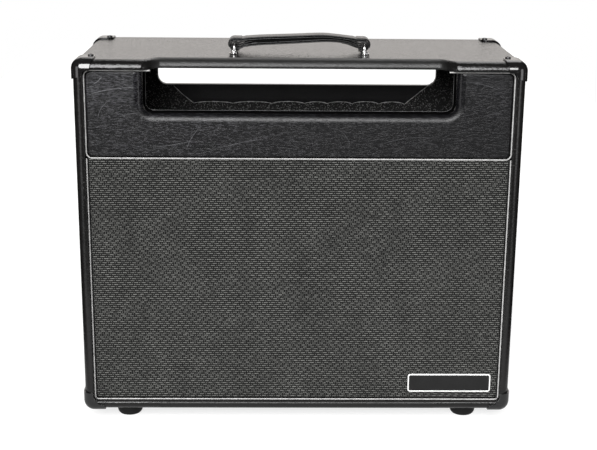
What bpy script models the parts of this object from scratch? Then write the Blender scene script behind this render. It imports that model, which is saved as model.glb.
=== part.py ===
"""Guitar combo amplifier cabinet: a vinyl covered box with an empty chassis bay
behind a window, a framed grille over a twelve inch loudspeaker, plastic corners,
rubber feet and a strap handle on two chrome loops.

Lengths below are millimetres and are scaled to metres as the meshes are made.
Cabinet coordinates: x to the right, y from the front rim (0) to the rear rim (DEPTH),
z from the underside of the box (0) to its top (HEIGHT).
"""
import math

import bmesh
import bpy
from mathutils import Vector

# ---------------------------------------------------------------- dimensions
MM = 0.001
WIDTH = 620.0            # outside of the covered box
DEPTH = 258.0
HEIGHT = 513.0
FOOT_HEIGHT = 20.0       # underside of the box above the floor
ROUND = 13.0             # roundover of every outer edge
WALL = 13.3              # rim: covering, glue gap and 12 mm plywood
SKIN = 1.0               # vinyl covering
GAP = 0.3                # clearance between touching pieces

RECESS = 20.0            # set-back of the top board's front edge over the window
RECESS_X0, RECESS_X1 = 191.0, 217.0   # where the set-back curve ends and starts

PIPING_R = 1.3
PIPING_X = 295.1         # half the distance between the two upright piping lines
PIPING_Y = 8.0
PIPING_TOP = HEIGHT - 14.9
PIPING_MID = 375.9
PIPING_LOW = 15.1
STUB_X = 204.5           # where the piping along the top of the front panel ends

PANEL_HALF = 293.5
PANEL_Y0, PANEL_Y1 = 8.5, 22.5
WINDOW_HALF = 216.5
WINDOW_SILL = 437.8
WINDOW_R = 14.0
WINDOW_ROUND = 12.0      # roundover of the window's front edge

BAFFLE_Y0, BAFFLE_Y1 = 22.8, 37.8
INNER_HALF = 296.3       # half width of the boards that sit between the sides
INNER_LOW, INNER_TOP = 13.6, 499.4

FRAME_RAIL = 28.0
CLOTH_Y0, CLOTH_Y1 = 8.4, 9.3

BACK_Y0, BACK_Y1 = 243.5, 255.5
BACK_SILL = 441.0
BACK_UPPER_LOW = 300.0
BACK_LOWER_TOP = 130.0
CLEAT = 20.3
RAIL_TOP = 395.0

SPEAKER_Z = 195.0
SPEAKER_Y = BAFFLE_Y1 + GAP
SPEAKER_HOLE_R = 141.5

HANDLE_Y = 95.0
HANDLE_X = 92.0          # loops' centres
HANDLE_W = 27.0
HANDLE_REACH = 18.8      # legs' distance from the strap's middle line
BAR_R, BAR_Z = 2.6, 524.6
HANDLE_LIFT = 3.0        # free play of the strap's eyes on the bars

CORNER_T = 1.9
FOOT_X, FOOT_Y = 249.0, 43.0

# ---------------------------------------------------------------- clean start
for ob in list(bpy.data.objects):
    bpy.data.objects.remove(ob, do_unlink=True)
for me in list(bpy.data.meshes):
    bpy.data.meshes.remove(me)


# ---------------------------------------------------------------- materials
def material(name, colour, roughness, metallic=0.0):
    mat = bpy.data.materials.new(name)
    mat.use_nodes = True
    bsdf = mat.node_tree.nodes["Principled BSDF"]
    bsdf.inputs["Base Color"].default_value = (*colour, 1.0)
    bsdf.inputs["Roughness"].default_value = roughness
    bsdf.inputs["Metallic"].default_value = metallic
    mat.diffuse_color = (*colour, 1.0)
    return mat


VINYL = material("black_vinyl", (0.022, 0.021, 0.024), 0.42)
PANEL_VINYL = material("panel_vinyl", (0.030, 0.029, 0.034), 0.45)
PLYWOOD = material("stained_plywood", (0.018, 0.017, 0.017), 0.7)
BLACK_WOOD = material("painted_wood", (0.015, 0.015, 0.015), 0.8)
PIPING = material("silver_piping", (0.62, 0.62, 0.60), 0.4)
CLOTH = material("grille_weave", (0.060, 0.062, 0.056), 0.9)
PLASTIC = material("black_plastic", (0.010, 0.010, 0.011), 0.25)
RUBBER = material("foot_rubber", (0.018, 0.018, 0.018), 0.75)
CHROME = material("handle_chrome", (0.75, 0.75, 0.76), 0.12, 1.0)
BLACK_STEEL = material("black_screw", (0.02, 0.02, 0.02), 0.35, 0.8)
ZINC = material("zinc_steel", (0.55, 0.56, 0.58), 0.35, 1.0)
STRAP = material("strap_vinyl", (0.018, 0.018, 0.020), 0.38)
BADGE = material("badge_black", (0.02, 0.02, 0.02), 0.3, 0.2)
BASKET = material("basket_paint", (0.03, 0.03, 0.032), 0.45, 0.4)
FERRITE = material("magnet_ferrite", (0.06, 0.06, 0.065), 0.7)
PAPER = material("cone_paper", (0.045, 0.043, 0.042), 0.95)
TREATED = material("treated_cloth", (0.20, 0.12, 0.05), 0.85)
COIL = material("coil_copper", (0.60, 0.30, 0.14), 0.4, 0.8)

# ---------------------------------------------------------------- the frame
cabinet = bpy.data.objects.new("cabinet", None)
bpy.context.scene.collection.objects.link(cabinet)
cabinet.location = (0.0, -DEPTH / 2 * MM, FOOT_HEIGHT * MM)


def empty(name, at):
    e = bpy.data.objects.new(name, None)
    bpy.context.scene.collection.objects.link(e)
    e.parent = cabinet
    e.location = Vector(at) * MM
    return e


handle_lift = empty("handle_lift", (0.0, HANDLE_Y, BAR_Z))
cone_travel = empty("cone_travel", (0.0, SPEAKER_Y, SPEAKER_Z))


def finish(name, bm, mat, at=(0.0, 0.0, 0.0), parent=None, smooth=None):
    """Turns a mesh built in cabinet millimetres into a named object whose origin is at `at`."""
    bmesh.ops.remove_doubles(bm, verts=bm.verts, dist=1e-4)
    bmesh.ops.recalc_face_normals(bm, faces=bm.faces)
    big = [f for f in bm.faces if len(f.verts) > 4]
    if big:
        bmesh.ops.triangulate(bm, faces=big, quad_method="BEAUTY", ngon_method="BEAUTY")
    base = Vector(at)
    bmesh.ops.translate(bm, verts=bm.verts, vec=-base)
    bmesh.ops.scale(bm, verts=bm.verts, vec=(MM, MM, MM))
    me = bpy.data.meshes.new(name)
    bm.to_mesh(me)
    bm.free()
    me.materials.append(mat)
    ob = bpy.data.objects.new(name, me)
    bpy.context.scene.collection.objects.link(ob)
    holder = parent or cabinet
    ob.parent = holder
    shift = base * MM
    if parent is not None:
        shift = shift - parent.location
    ob.location = shift
    if smooth is not None:
        me.shade_smooth()
        me.set_sharp_from_angle(angle=math.radians(smooth))
    return ob


def cutter(name, bm):
    """A guide body used only to cut others."""
    ob = finish(name, bm, BLACK_WOOD)
    ob.hide_render = True
    ob.display_type = "WIRE"
    return ob


def boolean(ob, tool, operation="DIFFERENCE"):
    mod = ob.modifiers.new(operation.lower(), "BOOLEAN")
    mod.operation = operation
    mod.object = tool
    mod.solver = "EXACT"
    return mod


# ---------------------------------------------------------------- mesh helpers
def loft(rings, closed=False, caps=True):
    """Skins a list of equally long vertex rings with quads."""
    bm = bmesh.new()
    rows = [[bm.verts.new(p) for p in ring] for ring in rings]
    n = len(rows[0])
    count = len(rows) if closed else len(rows) - 1
    for i in range(count):
        a, b = rows[i], rows[(i + 1) % len(rows)]
        for j in range(n):
            k = (j + 1) % n
            bm.faces.new((a[j], a[k], b[k], b[j]))
    if caps and not closed:
        bm.faces.new(rows[0])
        bm.faces.new(list(reversed(rows[-1])))
    return bm


def block(x0, x1, y0, y1, z0, z1, bevel=0.0, segments=1):
    bm = bmesh.new()
    bmesh.ops.create_cube(bm, size=1.0)
    bmesh.ops.scale(bm, verts=bm.verts, vec=(x1 - x0, y1 - y0, z1 - z0))
    bmesh.ops.translate(bm, verts=bm.verts, vec=((x0 + x1) / 2, (y0 + y1) / 2, (z0 + z1) / 2))
    if bevel:
        bmesh.ops.bevel(bm, geom=list(bm.edges), offset=bevel, offset_type="OFFSET",
                        segments=segments, profile=0.5, affect="EDGES")
    return bm


def lathe(profile, steps, centre, axis):
    """Turns a closed (radius, height) outline round the axis ('Y' or 'Z') through centre."""
    rings = []
    for i in range(steps):
        t = 2 * math.pi * i / steps
        ring = []
        for r, h in profile:
            if axis == "Z":
                p = (centre[0] + r * math.cos(t), centre[1] + r * math.sin(t), centre[2] + h)
            else:
                p = (centre[0] + r * math.cos(t), centre[1] + h, centre[2] + r * math.sin(t))
            ring.append(p)
        rings.append(ring)
    bm = loft(rings, closed=True)
    bmesh.ops.remove_doubles(bm, verts=bm.verts, dist=1e-4)
    return bm


def arc(cx, cz, r, a0, a1, n):
    """Points of an arc and their outward directions, angles in degrees."""
    out = []
    for i in range(n + 1):
        t = math.radians(a0 + (a1 - a0) * i / n)
        out.append((cx + r * math.cos(t), cz + r * math.sin(t), math.cos(t), math.sin(t)))
    return out


def smoothstep(t):
    t = min(max(t, 0.0), 1.0)
    return t * t * (3 - 2 * t)


def curve_through(points, x):
    """Smooth height through (x, height) points, for the strap's outline."""
    for (x0, h0), (x1, h1) in zip(points, points[1:]):
        if x <= x1 or (x1, h1) == points[-1]:
            i = points.index((x0, h0))
            hm = points[i - 1] if i > 0 else (2 * x0 - x1, h0)
            hn = points[i + 2] if i + 2 < len(points) else (2 * x1 - x0, h1)
            m0 = (h1 - hm[1]) / (x1 - hm[0])
            m1 = (hn[1] - h0) / (hn[0] - x0)
            w = x1 - x0
            t = (x - x0) / w
            return ((2 * t ** 3 - 3 * t ** 2 + 1) * h0 + (t ** 3 - 2 * t ** 2 + t) * w * m0
                    + (-2 * t ** 3 + 3 * t ** 2) * h1 + (t ** 3 - t ** 2) * w * m1)
    return points[-1][1]


# ---------------------------------------------------------------- the box
def recess(x):
    """How far the top board's front edge is set back at x."""
    return RECESS * smoothstep((RECESS_X1 - abs(x)) / (RECESS_X1 - RECESS_X0))


def perimeter():
    """Stations round the box, clockwise from the left: corner arcs, then the top's set-back curve."""
    st = []
    steps = 4
    for sx, sz, a0 in ((-1, 1, 180), (1, 1, 90), (1, -1, 0), (-1, -1, -90)):
        for i in range(steps + 1):
            st.append(("corner", sx, sz, math.radians(a0 - 90 * i / steps)))
        if (sx, sz) == (-1, 1):
            curve = [RECESS_X1 - (RECESS_X1 - RECESS_X0) * i / 7 for i in range(8)]
            xs = [-x for x in curve] + [-95.0, 0.0, 95.0] + list(reversed(curve))
            st += [("top", x, 0, 0.0) for x in xs]
    return st


def on_station(s, a):
    """(x, z) at offset a from the outer surface; a is negative inside the box."""
    if s[0] == "top":
        return s[1], HEIGHT + a
    _, sx, sz, t = s
    r = max(ROUND + a, 0.5)
    cx = sx * (WIDTH / 2 + a - r)
    cz = HEIGHT / 2 + sz * (HEIGHT / 2 + a - r)
    return cx + r * math.cos(t), cz + r * math.sin(t)


def edge_arc(radius, setback, front, n=4):
    """The roundover seen along the rim: (offset, y) from the rim face to the outer face."""
    out = []
    for i in range(n + 1):
        t = math.pi / 2 * i / n
        y = ROUND - radius * math.cos(t)
        out.append((-ROUND + radius * math.sin(t), setback + y if front else DEPTH - y))
    return out


def rim_profile(kind, f):
    if kind == "skin":
        r0, r1 = ROUND, ROUND - SKIN
        outer = [(-WALL, f)] + edge_arc(r0, f, True) + edge_arc(r0, f, False)[::-1] + [(-WALL, DEPTH)]
        inner = [(-WALL, DEPTH - SKIN)] + edge_arc(r1, f, False) + edge_arc(r1, f, True)[::-1] + [(-WALL, f + SKIN)]
        return outer + inner
    r = ROUND - SKIN - GAP
    d = SKIN + GAP
    return [(-WALL, f + d)] + edge_arc(r, f, True) + edge_arc(r, f, False)[::-1] + [(-WALL, DEPTH - d)]


def ring_body(kind):
    rings = []
    for s in perimeter():
        f = recess(s[1]) if s[0] == "top" else 0.0
        ring = []
        for a, y in rim_profile(kind, f):
            x, z = on_station(s, a)
            ring.append((x, y, z))
        rings.append(ring)
    return loft(rings, closed=True)


def cut(bm, z, keep_above):
    """Planes the body off at height z and closes the cut."""
    bmesh.ops.remove_doubles(bm, verts=bm.verts, dist=1e-4)
    geom = list(bm.verts) + list(bm.edges) + list(bm.faces)
    bmesh.ops.bisect_plane(bm, geom=geom, dist=1e-5, plane_co=(0, 0, z), plane_no=(0, 0, 1),
                           clear_inner=keep_above, clear_outer=not keep_above)
    rim = [e for e in bm.edges if e.is_boundary]
    bmesh.ops.holes_fill(bm, edges=rim, sides=0)


finish("vinyl_covering", ring_body("skin"), VINYL, smooth=40)

bm = ring_body("board")
cut(bm, HEIGHT - WALL + 0.15, True)
finish("top_board", bm, PLYWOOD, at=(0, DEPTH / 2, HEIGHT - WALL / 2))
bm = ring_body("board")
cut(bm, WALL - 0.15, False)
finish("bottom_board", bm, PLYWOOD, at=(0, DEPTH / 2, WALL / 2))
for side, sx in (("left", -1), ("right", 1)):
    bm = ring_body("board")
    cut(bm, HEIGHT - WALL - 0.15, False)
    cut(bm, WALL + 0.15, True)
    bmesh.ops.delete(bm, geom=[v for v in bm.verts if v.co.x * sx < 0], context="VERTS")
    finish(side + "_side_board", bm, PLYWOOD, at=(sx * (WIDTH - WALL) / 2, DEPTH / 2, HEIGHT / 2))


# ---------------------------------------------------------------- panels
def notched(half, low, top, sill, r_low, r_high=1.0, notch_half=WINDOW_HALF, n=6):
    """Outline of a panel with a window notch in its top edge: (x, z, nx, nz, in_notch)."""
    pts = []
    for x, z, nx, nz in arc(-half + r_low, low + r_low, r_low, 180, 270, 4):
        pts.append((x, z, nx, nz, False))
    for x, z, nx, nz in arc(half - r_low, low + r_low, r_low, 270, 360, 4):
        pts.append((x, z, nx, nz, False))
    for x, z, nx, nz in arc(half - r_high, top - r_high, r_high, 0, 90, 4):
        pts.append((x, z, nx, nz, False))
    pts.append((notch_half, top, -1.0, 0.0, True))
    r = WINDOW_R
    for x, z, nx, nz in arc(notch_half - r, sill + r, r, 0, -90, n):
        pts.append((x, z, -nx, -nz, True))
    for x, z, nx, nz in arc(-notch_half + r, sill + r, r, -90, -180, n):
        pts.append((x, z, -nx, -nz, True))
    pts.append((-notch_half, top, 1.0, 0.0, True))
    for x, z, nx, nz in arc(-half + r_high, top - r_high, r_high, 90, 180, 4):
        pts.append((x, z, nx, nz, False))
    return pts


def panel(outline, levels):
    """Stacks the outline at (y, notch set-back, outer set-back) levels."""
    rings = []
    for y, e_notch, e_outer in levels:
        ring = []
        for x, z, nx, nz, inside in outline:
            e = e_notch if inside else e_outer
            ring.append((x - nx * e, y, z - nz * e))
        rings.append(ring)
    return loft(rings)


levels = []
for i in range(5):
    t = math.pi / 2 * i / 4
    dy = WINDOW_ROUND * (1 - math.cos(t))
    levels.append((PANEL_Y0 + dy, WINDOW_ROUND * (1 - math.sin(t)), max(0.0, 1.2 - dy)))
levels.append((PANEL_Y1, 0.0, 0.0))
finish("front_panel",
       panel(notched(PANEL_HALF, PIPING_MID + PIPING_R + GAP, PIPING_TOP - PIPING_R - GAP,
                     WINDOW_SILL, 8.0, 8.0), levels),
       PANEL_VINYL, at=(0, PANEL_Y0, 420), smooth=35)

baffle = finish("baffle_board",
                panel(notched(INNER_HALF, INNER_LOW, INNER_TOP, WINDOW_SILL, 1.0),
                      [(BAFFLE_Y0, 0, 0), (BAFFLE_Y1, 0, 0)]),
                BLACK_WOOD, at=(0, BAFFLE_Y0, SPEAKER_Z))
hole = cutter("speaker_hole", lathe([(0, BAFFLE_Y0 - 20), (SPEAKER_HOLE_R, BAFFLE_Y0 - 20),
                                     (SPEAKER_HOLE_R, BAFFLE_Y1 + 20), (0, BAFFLE_Y1 + 20)],
                                    40, (0, 0, SPEAKER_Z), "Y"))
boolean(baffle, hole)

e3 = 2.0
finish("upper_back_panel",
       panel(notched(INNER_HALF - 0.3, BACK_UPPER_LOW, INNER_TOP, BACK_SILL, 3.0),
             [(BACK_Y0, e3, 0.8), (BACK_Y0 + e3, 0, 0), (BACK_Y1 - e3, 0, 0), (BACK_Y1, e3, 0.8)]),
       PANEL_VINYL, at=(0, BACK_Y0, BACK_UPPER_LOW))
finish("lower_back_panel",
       block(-INNER_HALF + 0.3, INNER_HALF - 0.3, BACK_Y0, BACK_Y1, INNER_LOW, BACK_LOWER_TOP, 1.0),
       PANEL_VINYL, at=(0, BACK_Y0, INNER_LOW))

# battens glued to the sides: panels screw to the uprights, a chassis stands on the rails
for side, sx in (("left", -1), ("right", 1)):
    xa, xb = sorted((sx * (INNER_HALF - CLEAT), sx * INNER_HALF))
    finish("front_cleat_" + side,
           block(xa, xb, BAFFLE_Y1 + GAP, BAFFLE_Y1 + GAP + 20, INNER_LOW, INNER_TOP),
           PLYWOOD, at=((xa + xb) / 2, BAFFLE_Y1 + 10, INNER_LOW))
    finish("rear_cleat_" + side,
           block(xa, xb, BACK_Y0 - GAP - 20, BACK_Y0 - GAP, INNER_LOW, INNER_TOP),
           PLYWOOD, at=((xa + xb) / 2, BACK_Y0 - 10, INNER_LOW))
    finish("chassis_rail_" + side,
           block(xa, xb, BAFFLE_Y1 + 20 + 2 * GAP, BACK_Y0 - 20 - 2 * GAP, RAIL_TOP - 20, RAIL_TOP),
           PLYWOOD, at=((xa + xb) / 2, DEPTH / 2, RAIL_TOP))


# ---------------------------------------------------------------- grille
g_half, g_low, g_top = PANEL_HALF - 1.3, PIPING_LOW + PIPING_R + GAP + 1.3, PIPING_MID - PIPING_R - GAP - 1.3


def rectangle(half, low, top, y):
    return [(-half, y, low), (half, y, low), (half, y, top), (-half, y, top)]


frame_y0, frame_y1 = CLOTH_Y1 + GAP, BAFFLE_Y0 - GAP
inset = FRAME_RAIL
finish("grille_frame",
       loft([rectangle(g_half, g_low, g_top, frame_y0),
             rectangle(g_half, g_low, g_top, frame_y1),
             rectangle(g_half - inset, g_low + inset, g_top - inset, frame_y1),
             rectangle(g_half - inset, g_low + inset, g_top - inset, frame_y0)], closed=True),
       BLACK_WOOD, at=(0, frame_y0, g_low))
sheet = []
for cx, cz, a0, cr in ((PANEL_HALF, g_top + 1.2, 0, 1.0), (-PANEL_HALF, g_top + 1.2, 90, 1.0),
                       (-PANEL_HALF, g_low - 1.2, 180, 5.0), (PANEL_HALF, g_low - 1.2, 270, 5.0)):
    inx, inz = math.copysign(cr, cx), cr if cz > SPEAKER_Z else -cr
    sheet += arc(cx - inx, cz - inz, cr, a0, a0 + 90, 3)
finish("grille_cloth",
       loft([[(x, y, z) for x, z, _, _ in sheet] for y in (CLOTH_Y0, CLOTH_Y1)]),
       CLOTH, at=(0, CLOTH_Y0, g_low))


def tube(path, radius, sides=6):
    """Round bar along points that lie in one plane, mitred at the bends, with flat ends."""
    pts = [Vector(p) for p in path]
    rings = []
    for i, p in enumerate(pts):
        before = (p - pts[i - 1]).normalized() if i else (pts[1] - p).normalized()
        after = (pts[i + 1] - p).normalized() if i + 1 < len(pts) else before
        along = (before + after).normalized()
        stretch = 1.0 / max(along.dot(before), 0.6)
        flat = PLANE.cross(along).normalized()
        ring = []
        for k in range(sides):
            a = 2 * math.pi * (k + 0.5) / sides
            ring.append(p + PLANE * (radius * math.sin(a)) + flat * (radius * stretch * math.cos(a)))
        rings.append(ring)
    return loft(rings)


PLANE = Vector((0.0, 1.0, 0.0))
r = 8.0
path = [(-STUB_X, PIPING_TOP)]
path += [(x, z) for x, z, _, _ in arc(-PIPING_X + r, PIPING_TOP - r, r, 90, 180, 4)]
path += [(x, z) for x, z, _, _ in arc(-PIPING_X + r, PIPING_MID + r, r, 180, 270, 4)]
path += [(x, z) for x, z, _, _ in arc(PIPING_X - r, PIPING_MID + r, r, 270, 360, 4)]
path += [(x, z) for x, z, _, _ in arc(PIPING_X - r, PIPING_TOP - r, r, 0, 90, 4)]
path += [(STUB_X, PIPING_TOP)]
finish("front_panel_piping", tube([(x, PIPING_Y, z) for x, z in path], PIPING_R),
       PIPING, at=(0, PIPING_Y, PIPING_MID), smooth=60)
r = 5.0
path = [(-PIPING_X, PIPING_MID - 0.6)]
path += [(x, z) for x, z, _, _ in arc(-PIPING_X + r, PIPING_LOW + r, r, 180, 270, 4)]
path += [(x, z) for x, z, _, _ in arc(PIPING_X - r, PIPING_LOW + r, r, 270, 360, 4)]
path += [(PIPING_X, PIPING_MID - 0.6)]
finish("grille_piping", tube([(x, PIPING_Y, z) for x, z in path], PIPING_R),
       PIPING, at=(0, PIPING_Y, PIPING_LOW), smooth=60)

# plain badge plate with rounded corners, standing on the cloth
b_x0, b_x1, b_z0, b_z1 = 161.5, 283.0, 27.5, 55.5
plate = []
for cx, cz, a0 in ((b_x1 - 4, b_z1 - 4, 0), (b_x0 + 4, b_z1 - 4, 90), (b_x0 + 4, b_z0 + 4, 180), (b_x1 - 4, b_z0 + 4, 270)):
    plate += arc(cx, cz, 4.0, a0, a0 + 90, 4)
rings = []
for y, e in ((CLOTH_Y0 - GAP, 0.0), (CLOTH_Y0 - GAP - 1.6, 0.0), (CLOTH_Y0 - GAP - 2.4, 0.8)):
    rings.append([(x - nx * e, y, z - nz * e) for x, z, nx, nz in plate])
finish("badge_plate", loft(rings), BADGE, at=((b_x0 + b_x1) / 2, CLOTH_Y0, (b_z0 + b_z1) / 2))


# ---------------------------------------------------------------- corner protectors
HALF_WAY = ROUND * (1 - math.tan(math.radians(22.5)))
U_LINES = [0.0, HALF_WAY, ROUND, 21.0, 29.0]
V_LINES = [0.0, HALF_WAY, ROUND, 24.0, 32.0, 38.0]
W_LINES = [0.0, HALF_WAY, ROUND, 20.0, 27.0]
CORNER_LO, CORNER_HI = 0.55, 0.55 + CORNER_T


def corner_body(sx, front, top):
    """A moulded cap over one corner: top and side flaps and a narrow front one, drawn on the
    faces of the corner's outer box and pushed onto the rounded surface."""
    bm = bmesh.new()
    seen = {}

    def place(u, v, w, off):
        c = Vector((max(u, ROUND), max(v, ROUND), max(w, ROUND)))
        d = (Vector((u, v, w)) - c).normalized()
        p = c + d * (ROUND + off)
        return Vector((sx * (WIDTH / 2 - p.x), p.y if front else DEPTH - p.y,
                       HEIGHT - p.z if top else p.z))

    def vert(key, off):
        if (key, off) not in seen:
            seen[(key, off)] = bm.verts.new(place(*key, off))
        return seen[(key, off)]

    def soften(p, q, plast, qlast, pprev, qprev):
        """Rounds the free corner of a flap."""
        if p == plast and q == qlast:
            return pprev + (plast - pprev) * 0.72, qprev + (qlast - qprev) * 0.72
        return p, q

    cells = []

    def key_top(i, j):
        u, v = soften(U_LINES[i], V_LINES[j], U_LINES[-1], V_LINES[-1], U_LINES[-2], V_LINES[-2])
        return (u, v, 0.0)

    def key_side(j, k):
        v, w = soften(V_LINES[j], W_LINES[k], V_LINES[-1], W_LINES[-1], V_LINES[-2], W_LINES[-2])
        return (0.0, v, w)

    def key_front(i, k):
        return (U_LINES[i], 0.0, W_LINES[k])

    for i in range(len(U_LINES) - 1):
        for j in range(len(V_LINES) - 1):
            cells.append([key_top(i, j), key_top(i + 1, j), key_top(i + 1, j + 1), key_top(i, j + 1)])
    for j in range(len(V_LINES) - 1):
        for k in range(len(W_LINES) - 1):
            cells.append([key_side(j, k), key_side(j, k + 1), key_side(j + 1, k + 1), key_side(j + 1, k)])
    for i in range(len(U_LINES) - 1):
        for k in range(len(W_LINES) - 1):
            if i >= 2 and k >= 2:
                continue
            cells.append([key_front(i, k), key_front(i, k + 1), key_front(i + 1, k + 1), key_front(i + 1, k)])
    cells.append([key_front(2, 2), key_front(2, 3), key_front(3, 2)])

    count = {}
    for cell in cells:
        n = len(cell)
        for m in range(n):
            e = frozenset((cell[m], cell[(m + 1) % n]))
            count[e] = count.get(e, 0) + 1
    lo, hi = CORNER_LO, CORNER_HI
    for cell in cells:
        bm.faces.new([vert(p, hi) for p in cell])
        bm.faces.new([vert(p, lo) for p in reversed(cell)])
        n = len(cell)
        for m in range(n):
            p, q = cell[m], cell[(m + 1) % n]
            if count[frozenset((p, q))] == 1:
                bm.faces.new((vert(p, hi), vert(p, lo), vert(q, lo), vert(q, hi)))
    return bm


def dome(radius, height, steps=12):
    """Outline of a low screw head standing on height 0."""
    return [(0.0, 0.0), (radius, 0.0), (radius, height * 0.35), (radius * 0.72, height * 0.85), (0.0, height)]


for top in (True, False):
    for front in (True, False):
        for side, sx in (("left", -1), ("right", 1)):
            tag = ("top" if top else "bottom") + "_" + ("front" if front else "rear") + "_" + side
            corner = (sx * WIDTH / 2, 0.0 if front else DEPTH, HEIGHT if top else 0.0)
            finish("corner_" + tag, corner_body(sx, front, top), PLASTIC, at=corner, smooth=40)
            lift = CORNER_HI + GAP
            sy = 28.0 if front else DEPTH - 28.0
            at = (sx * (WIDTH / 2 - 23.0), sy, HEIGHT + lift if top else -lift)
            head = dome(4.0, 2.2)
            if not top:
                head = [(a, -b) for a, b in head]
            finish("corner_screw_" + tag, lathe(head, 10, at, "Z"), BLACK_STEEL, at=at, smooth=30)

# ---------------------------------------------------------------- feet
foot = [(2.9, -GAP), (2.9, -9.0), (9.0, -9.0), (9.0, -FOOT_HEIGHT), (17.2, -FOOT_HEIGHT),
        (18.4, -FOOT_HEIGHT + 1.4), (19.5, -1.8), (18.6, -GAP)]
bolt = [(0.0, -GAP - 0.2), (2.4, -GAP - 0.2), (2.4, -9.3), (5.5, -9.3), (5.5, -10.4), (3.8, -12.2), (0.0, -12.8)]
for front in (True, False):
    for side, sx in (("left", -1), ("right", 1)):
        tag = ("front" if front else "rear") + "_" + side
        at = (sx * FOOT_X, FOOT_Y if front else DEPTH - FOOT_Y, 0.0)
        finish("foot_" + tag, lathe(foot, 18, at, "Z"), RUBBER, at=at, smooth=35)
        finish("foot_screw_" + tag, lathe(bolt, 10, at, "Z"), ZINC, at=at, smooth=30)

# ---------------------------------------------------------------- handle
PLANE = Vector((1.0, 0.0, 0.0))
for side, sx in (("left", -1), ("right", 1)):
    x = sx * HANDLE_X
    reach, r = HANDLE_REACH, 5.0
    path = [(x, -reach, HEIGHT + GAP + 0.8)]
    path += [(x, y, z) for y, z, _, _ in arc(-reach + r, BAR_Z - r, r, 180, 90, 3)]
    path += [(x, y, z) for y, z, _, _ in arc(reach - r, BAR_Z - r, r, 90, 0, 3)]
    path += [(x, reach, HEIGHT + GAP + 0.8)]
    loop = finish("handle_bracket_" + side,
                  tube([(px, HANDLE_Y + py, pz) for px, py, pz in path], BAR_R, 8),
                  CHROME, at=(x, HANDLE_Y, HEIGHT), smooth=40)
    for tag, sy in (("front", -1), ("rear", 1)):
        ya, yb = sorted((HANDLE_Y + sy * (reach - 3.6), HANDLE_Y + sy * (reach + 13.0)))
        base = cutter("foot_plate_%s_%s" % (tag, side),
                      block(x - 6.5, x + 6.5, ya, yb, HEIGHT + GAP, HEIGHT + GAP + 2.0, 0.5))
        boolean(loop, base, "UNION")
        at = (x, HANDLE_Y + sy * (reach + 7.6), HEIGHT + 2 * GAP + 2.0)
        finish("handle_screw_%s_%s" % (tag, side), lathe(dome(3.4, 2.0), 10, at, "Z"), ZINC, at=at, smooth=30)

loop_r, loop_z = 8.8, 525.5
above = [(-92.0, 534.3), (-78.0, 534.2), (-54.0, 535.8), (-27.0, 536.8), (0.0, 537.8),
         (33.0, 539.0), (54.0, 537.4), (77.0, 534.8), (92.0, 534.3)]
below = [(-92.0, 516.7), (-84.0, 518.2), (-76.0, 521.2), (-54.0, 523.8), (-26.0, 525.2), (4.0, 527.0),
         (32.0, 528.6), (46.0, 528.7), (62.0, 527.2), (76.0, 523.6), (85.0, 518.8), (92.0, 516.7)]
xs = [-HANDLE_X + 2 * HANDLE_X * i / 22 for i in range(23)]
outline = [(x, curve_through(above, x)) for x in xs[:-1]]
outline += [(x, z) for x, z, _, _ in arc(HANDLE_X, loop_z, loop_r, 90, -90, 8)]
outline += [(x, curve_through(below, x)) for x in reversed(xs[1:-1])]
outline += [(x, z) for x, z, _, _ in arc(-HANDLE_X, loop_z, loop_r, 270, 90, 8)][:-1]


def inward(points, e):
    out = []
    n = len(points)
    for i, (x, z) in enumerate(points):
        px, pz = points[i - 1]
        qx, qz = points[(i + 1) % n]
        t = Vector((qx - px, qz - pz)).normalized()
        out.append((x + t.y * e, z - t.x * e))
    return out


half = HANDLE_W / 2
rings = []
for dy, e in ((-half, 1.6), (-half + 1.6, 0.0), (half - 1.6, 0.0), (half, 1.6)):
    rings.append([(x, HANDLE_Y + dy, z) for x, z in inward(outline, e)])
strap = finish("handle_strap", loft(rings), STRAP, at=(0, HANDLE_Y, BAR_Z), parent=handle_lift, smooth=35)
for side, sx in (("left", -1), ("right", 1)):
    x, slot_r = sx * HANDLE_X, BAR_R + 0.5
    z_hi = BAR_Z + BAR_R + GAP - slot_r
    z_lo = BAR_Z - BAR_R - GAP - HANDLE_LIFT + slot_r
    eye = arc(x, z_hi, slot_r, 0, 180, 6) + arc(x, z_lo, slot_r, 180, 360, 6)
    slot = cutter("eye_" + side, loft([[(px, HANDLE_Y + dy, pz) for px, pz, _, _ in eye] for dy in (-half - 5, half + 5)]))
    slot.parent = handle_lift
    slot.location = -handle_lift.location
    boolean(strap, slot)

# ---------------------------------------------------------------- loudspeaker
c = (0.0, SPEAKER_Y, SPEAKER_Z)
wall_out = [(141.0, 10.5), (128.5, 22.5), (98.0, 44.0), (64.0, 62.0)]
basket_outline = ([(154.5, 0.0), (154.5, 8.0), (143.5, 8.0)] + wall_out + [(62.0, 66.0), (27.0, 66.0), (27.0, 63.6)]
                  + [(60.0, 63.6), (60.5, 60.6)] + [(96.0, 41.9), (126.2, 20.4), (138.6, 8.6), (141.9, 5.4), (141.9, 0.0)])
basket = finish("speaker_frame", lathe(basket_outline, 36, c, "Y"), BASKET, at=c, smooth=30)
windows = bmesh.new()
for i in range(6):
    mid = 2 * math.pi * (i + 0.5) / 6
    ring_lo, ring_hi = [], []
    for r, ring in ((66.0, ring_lo), (134.0, ring_hi)):
        for k in range(5):
            t = mid + math.radians(21.0) * (k - 2) / 2
            ring.append((r, t))
    shape = ring_lo + list(reversed(ring_hi))
    rows = []
    for h in (8.6, 62.0):
        rows.append([windows.verts.new((c[0] + r * math.cos(t), c[1] + h, c[2] + r * math.sin(t))) for r, t in shape])
    n = len(shape)
    for k in range(n):
        windows.faces.new((rows[0][k], rows[0][(k + 1) % n], rows[1][(k + 1) % n], rows[1][k]))
    windows.faces.new(rows[0])
    windows.faces.new(list(reversed(rows[1])))
boolean(basket, cutter("basket_windows", windows))

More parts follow.
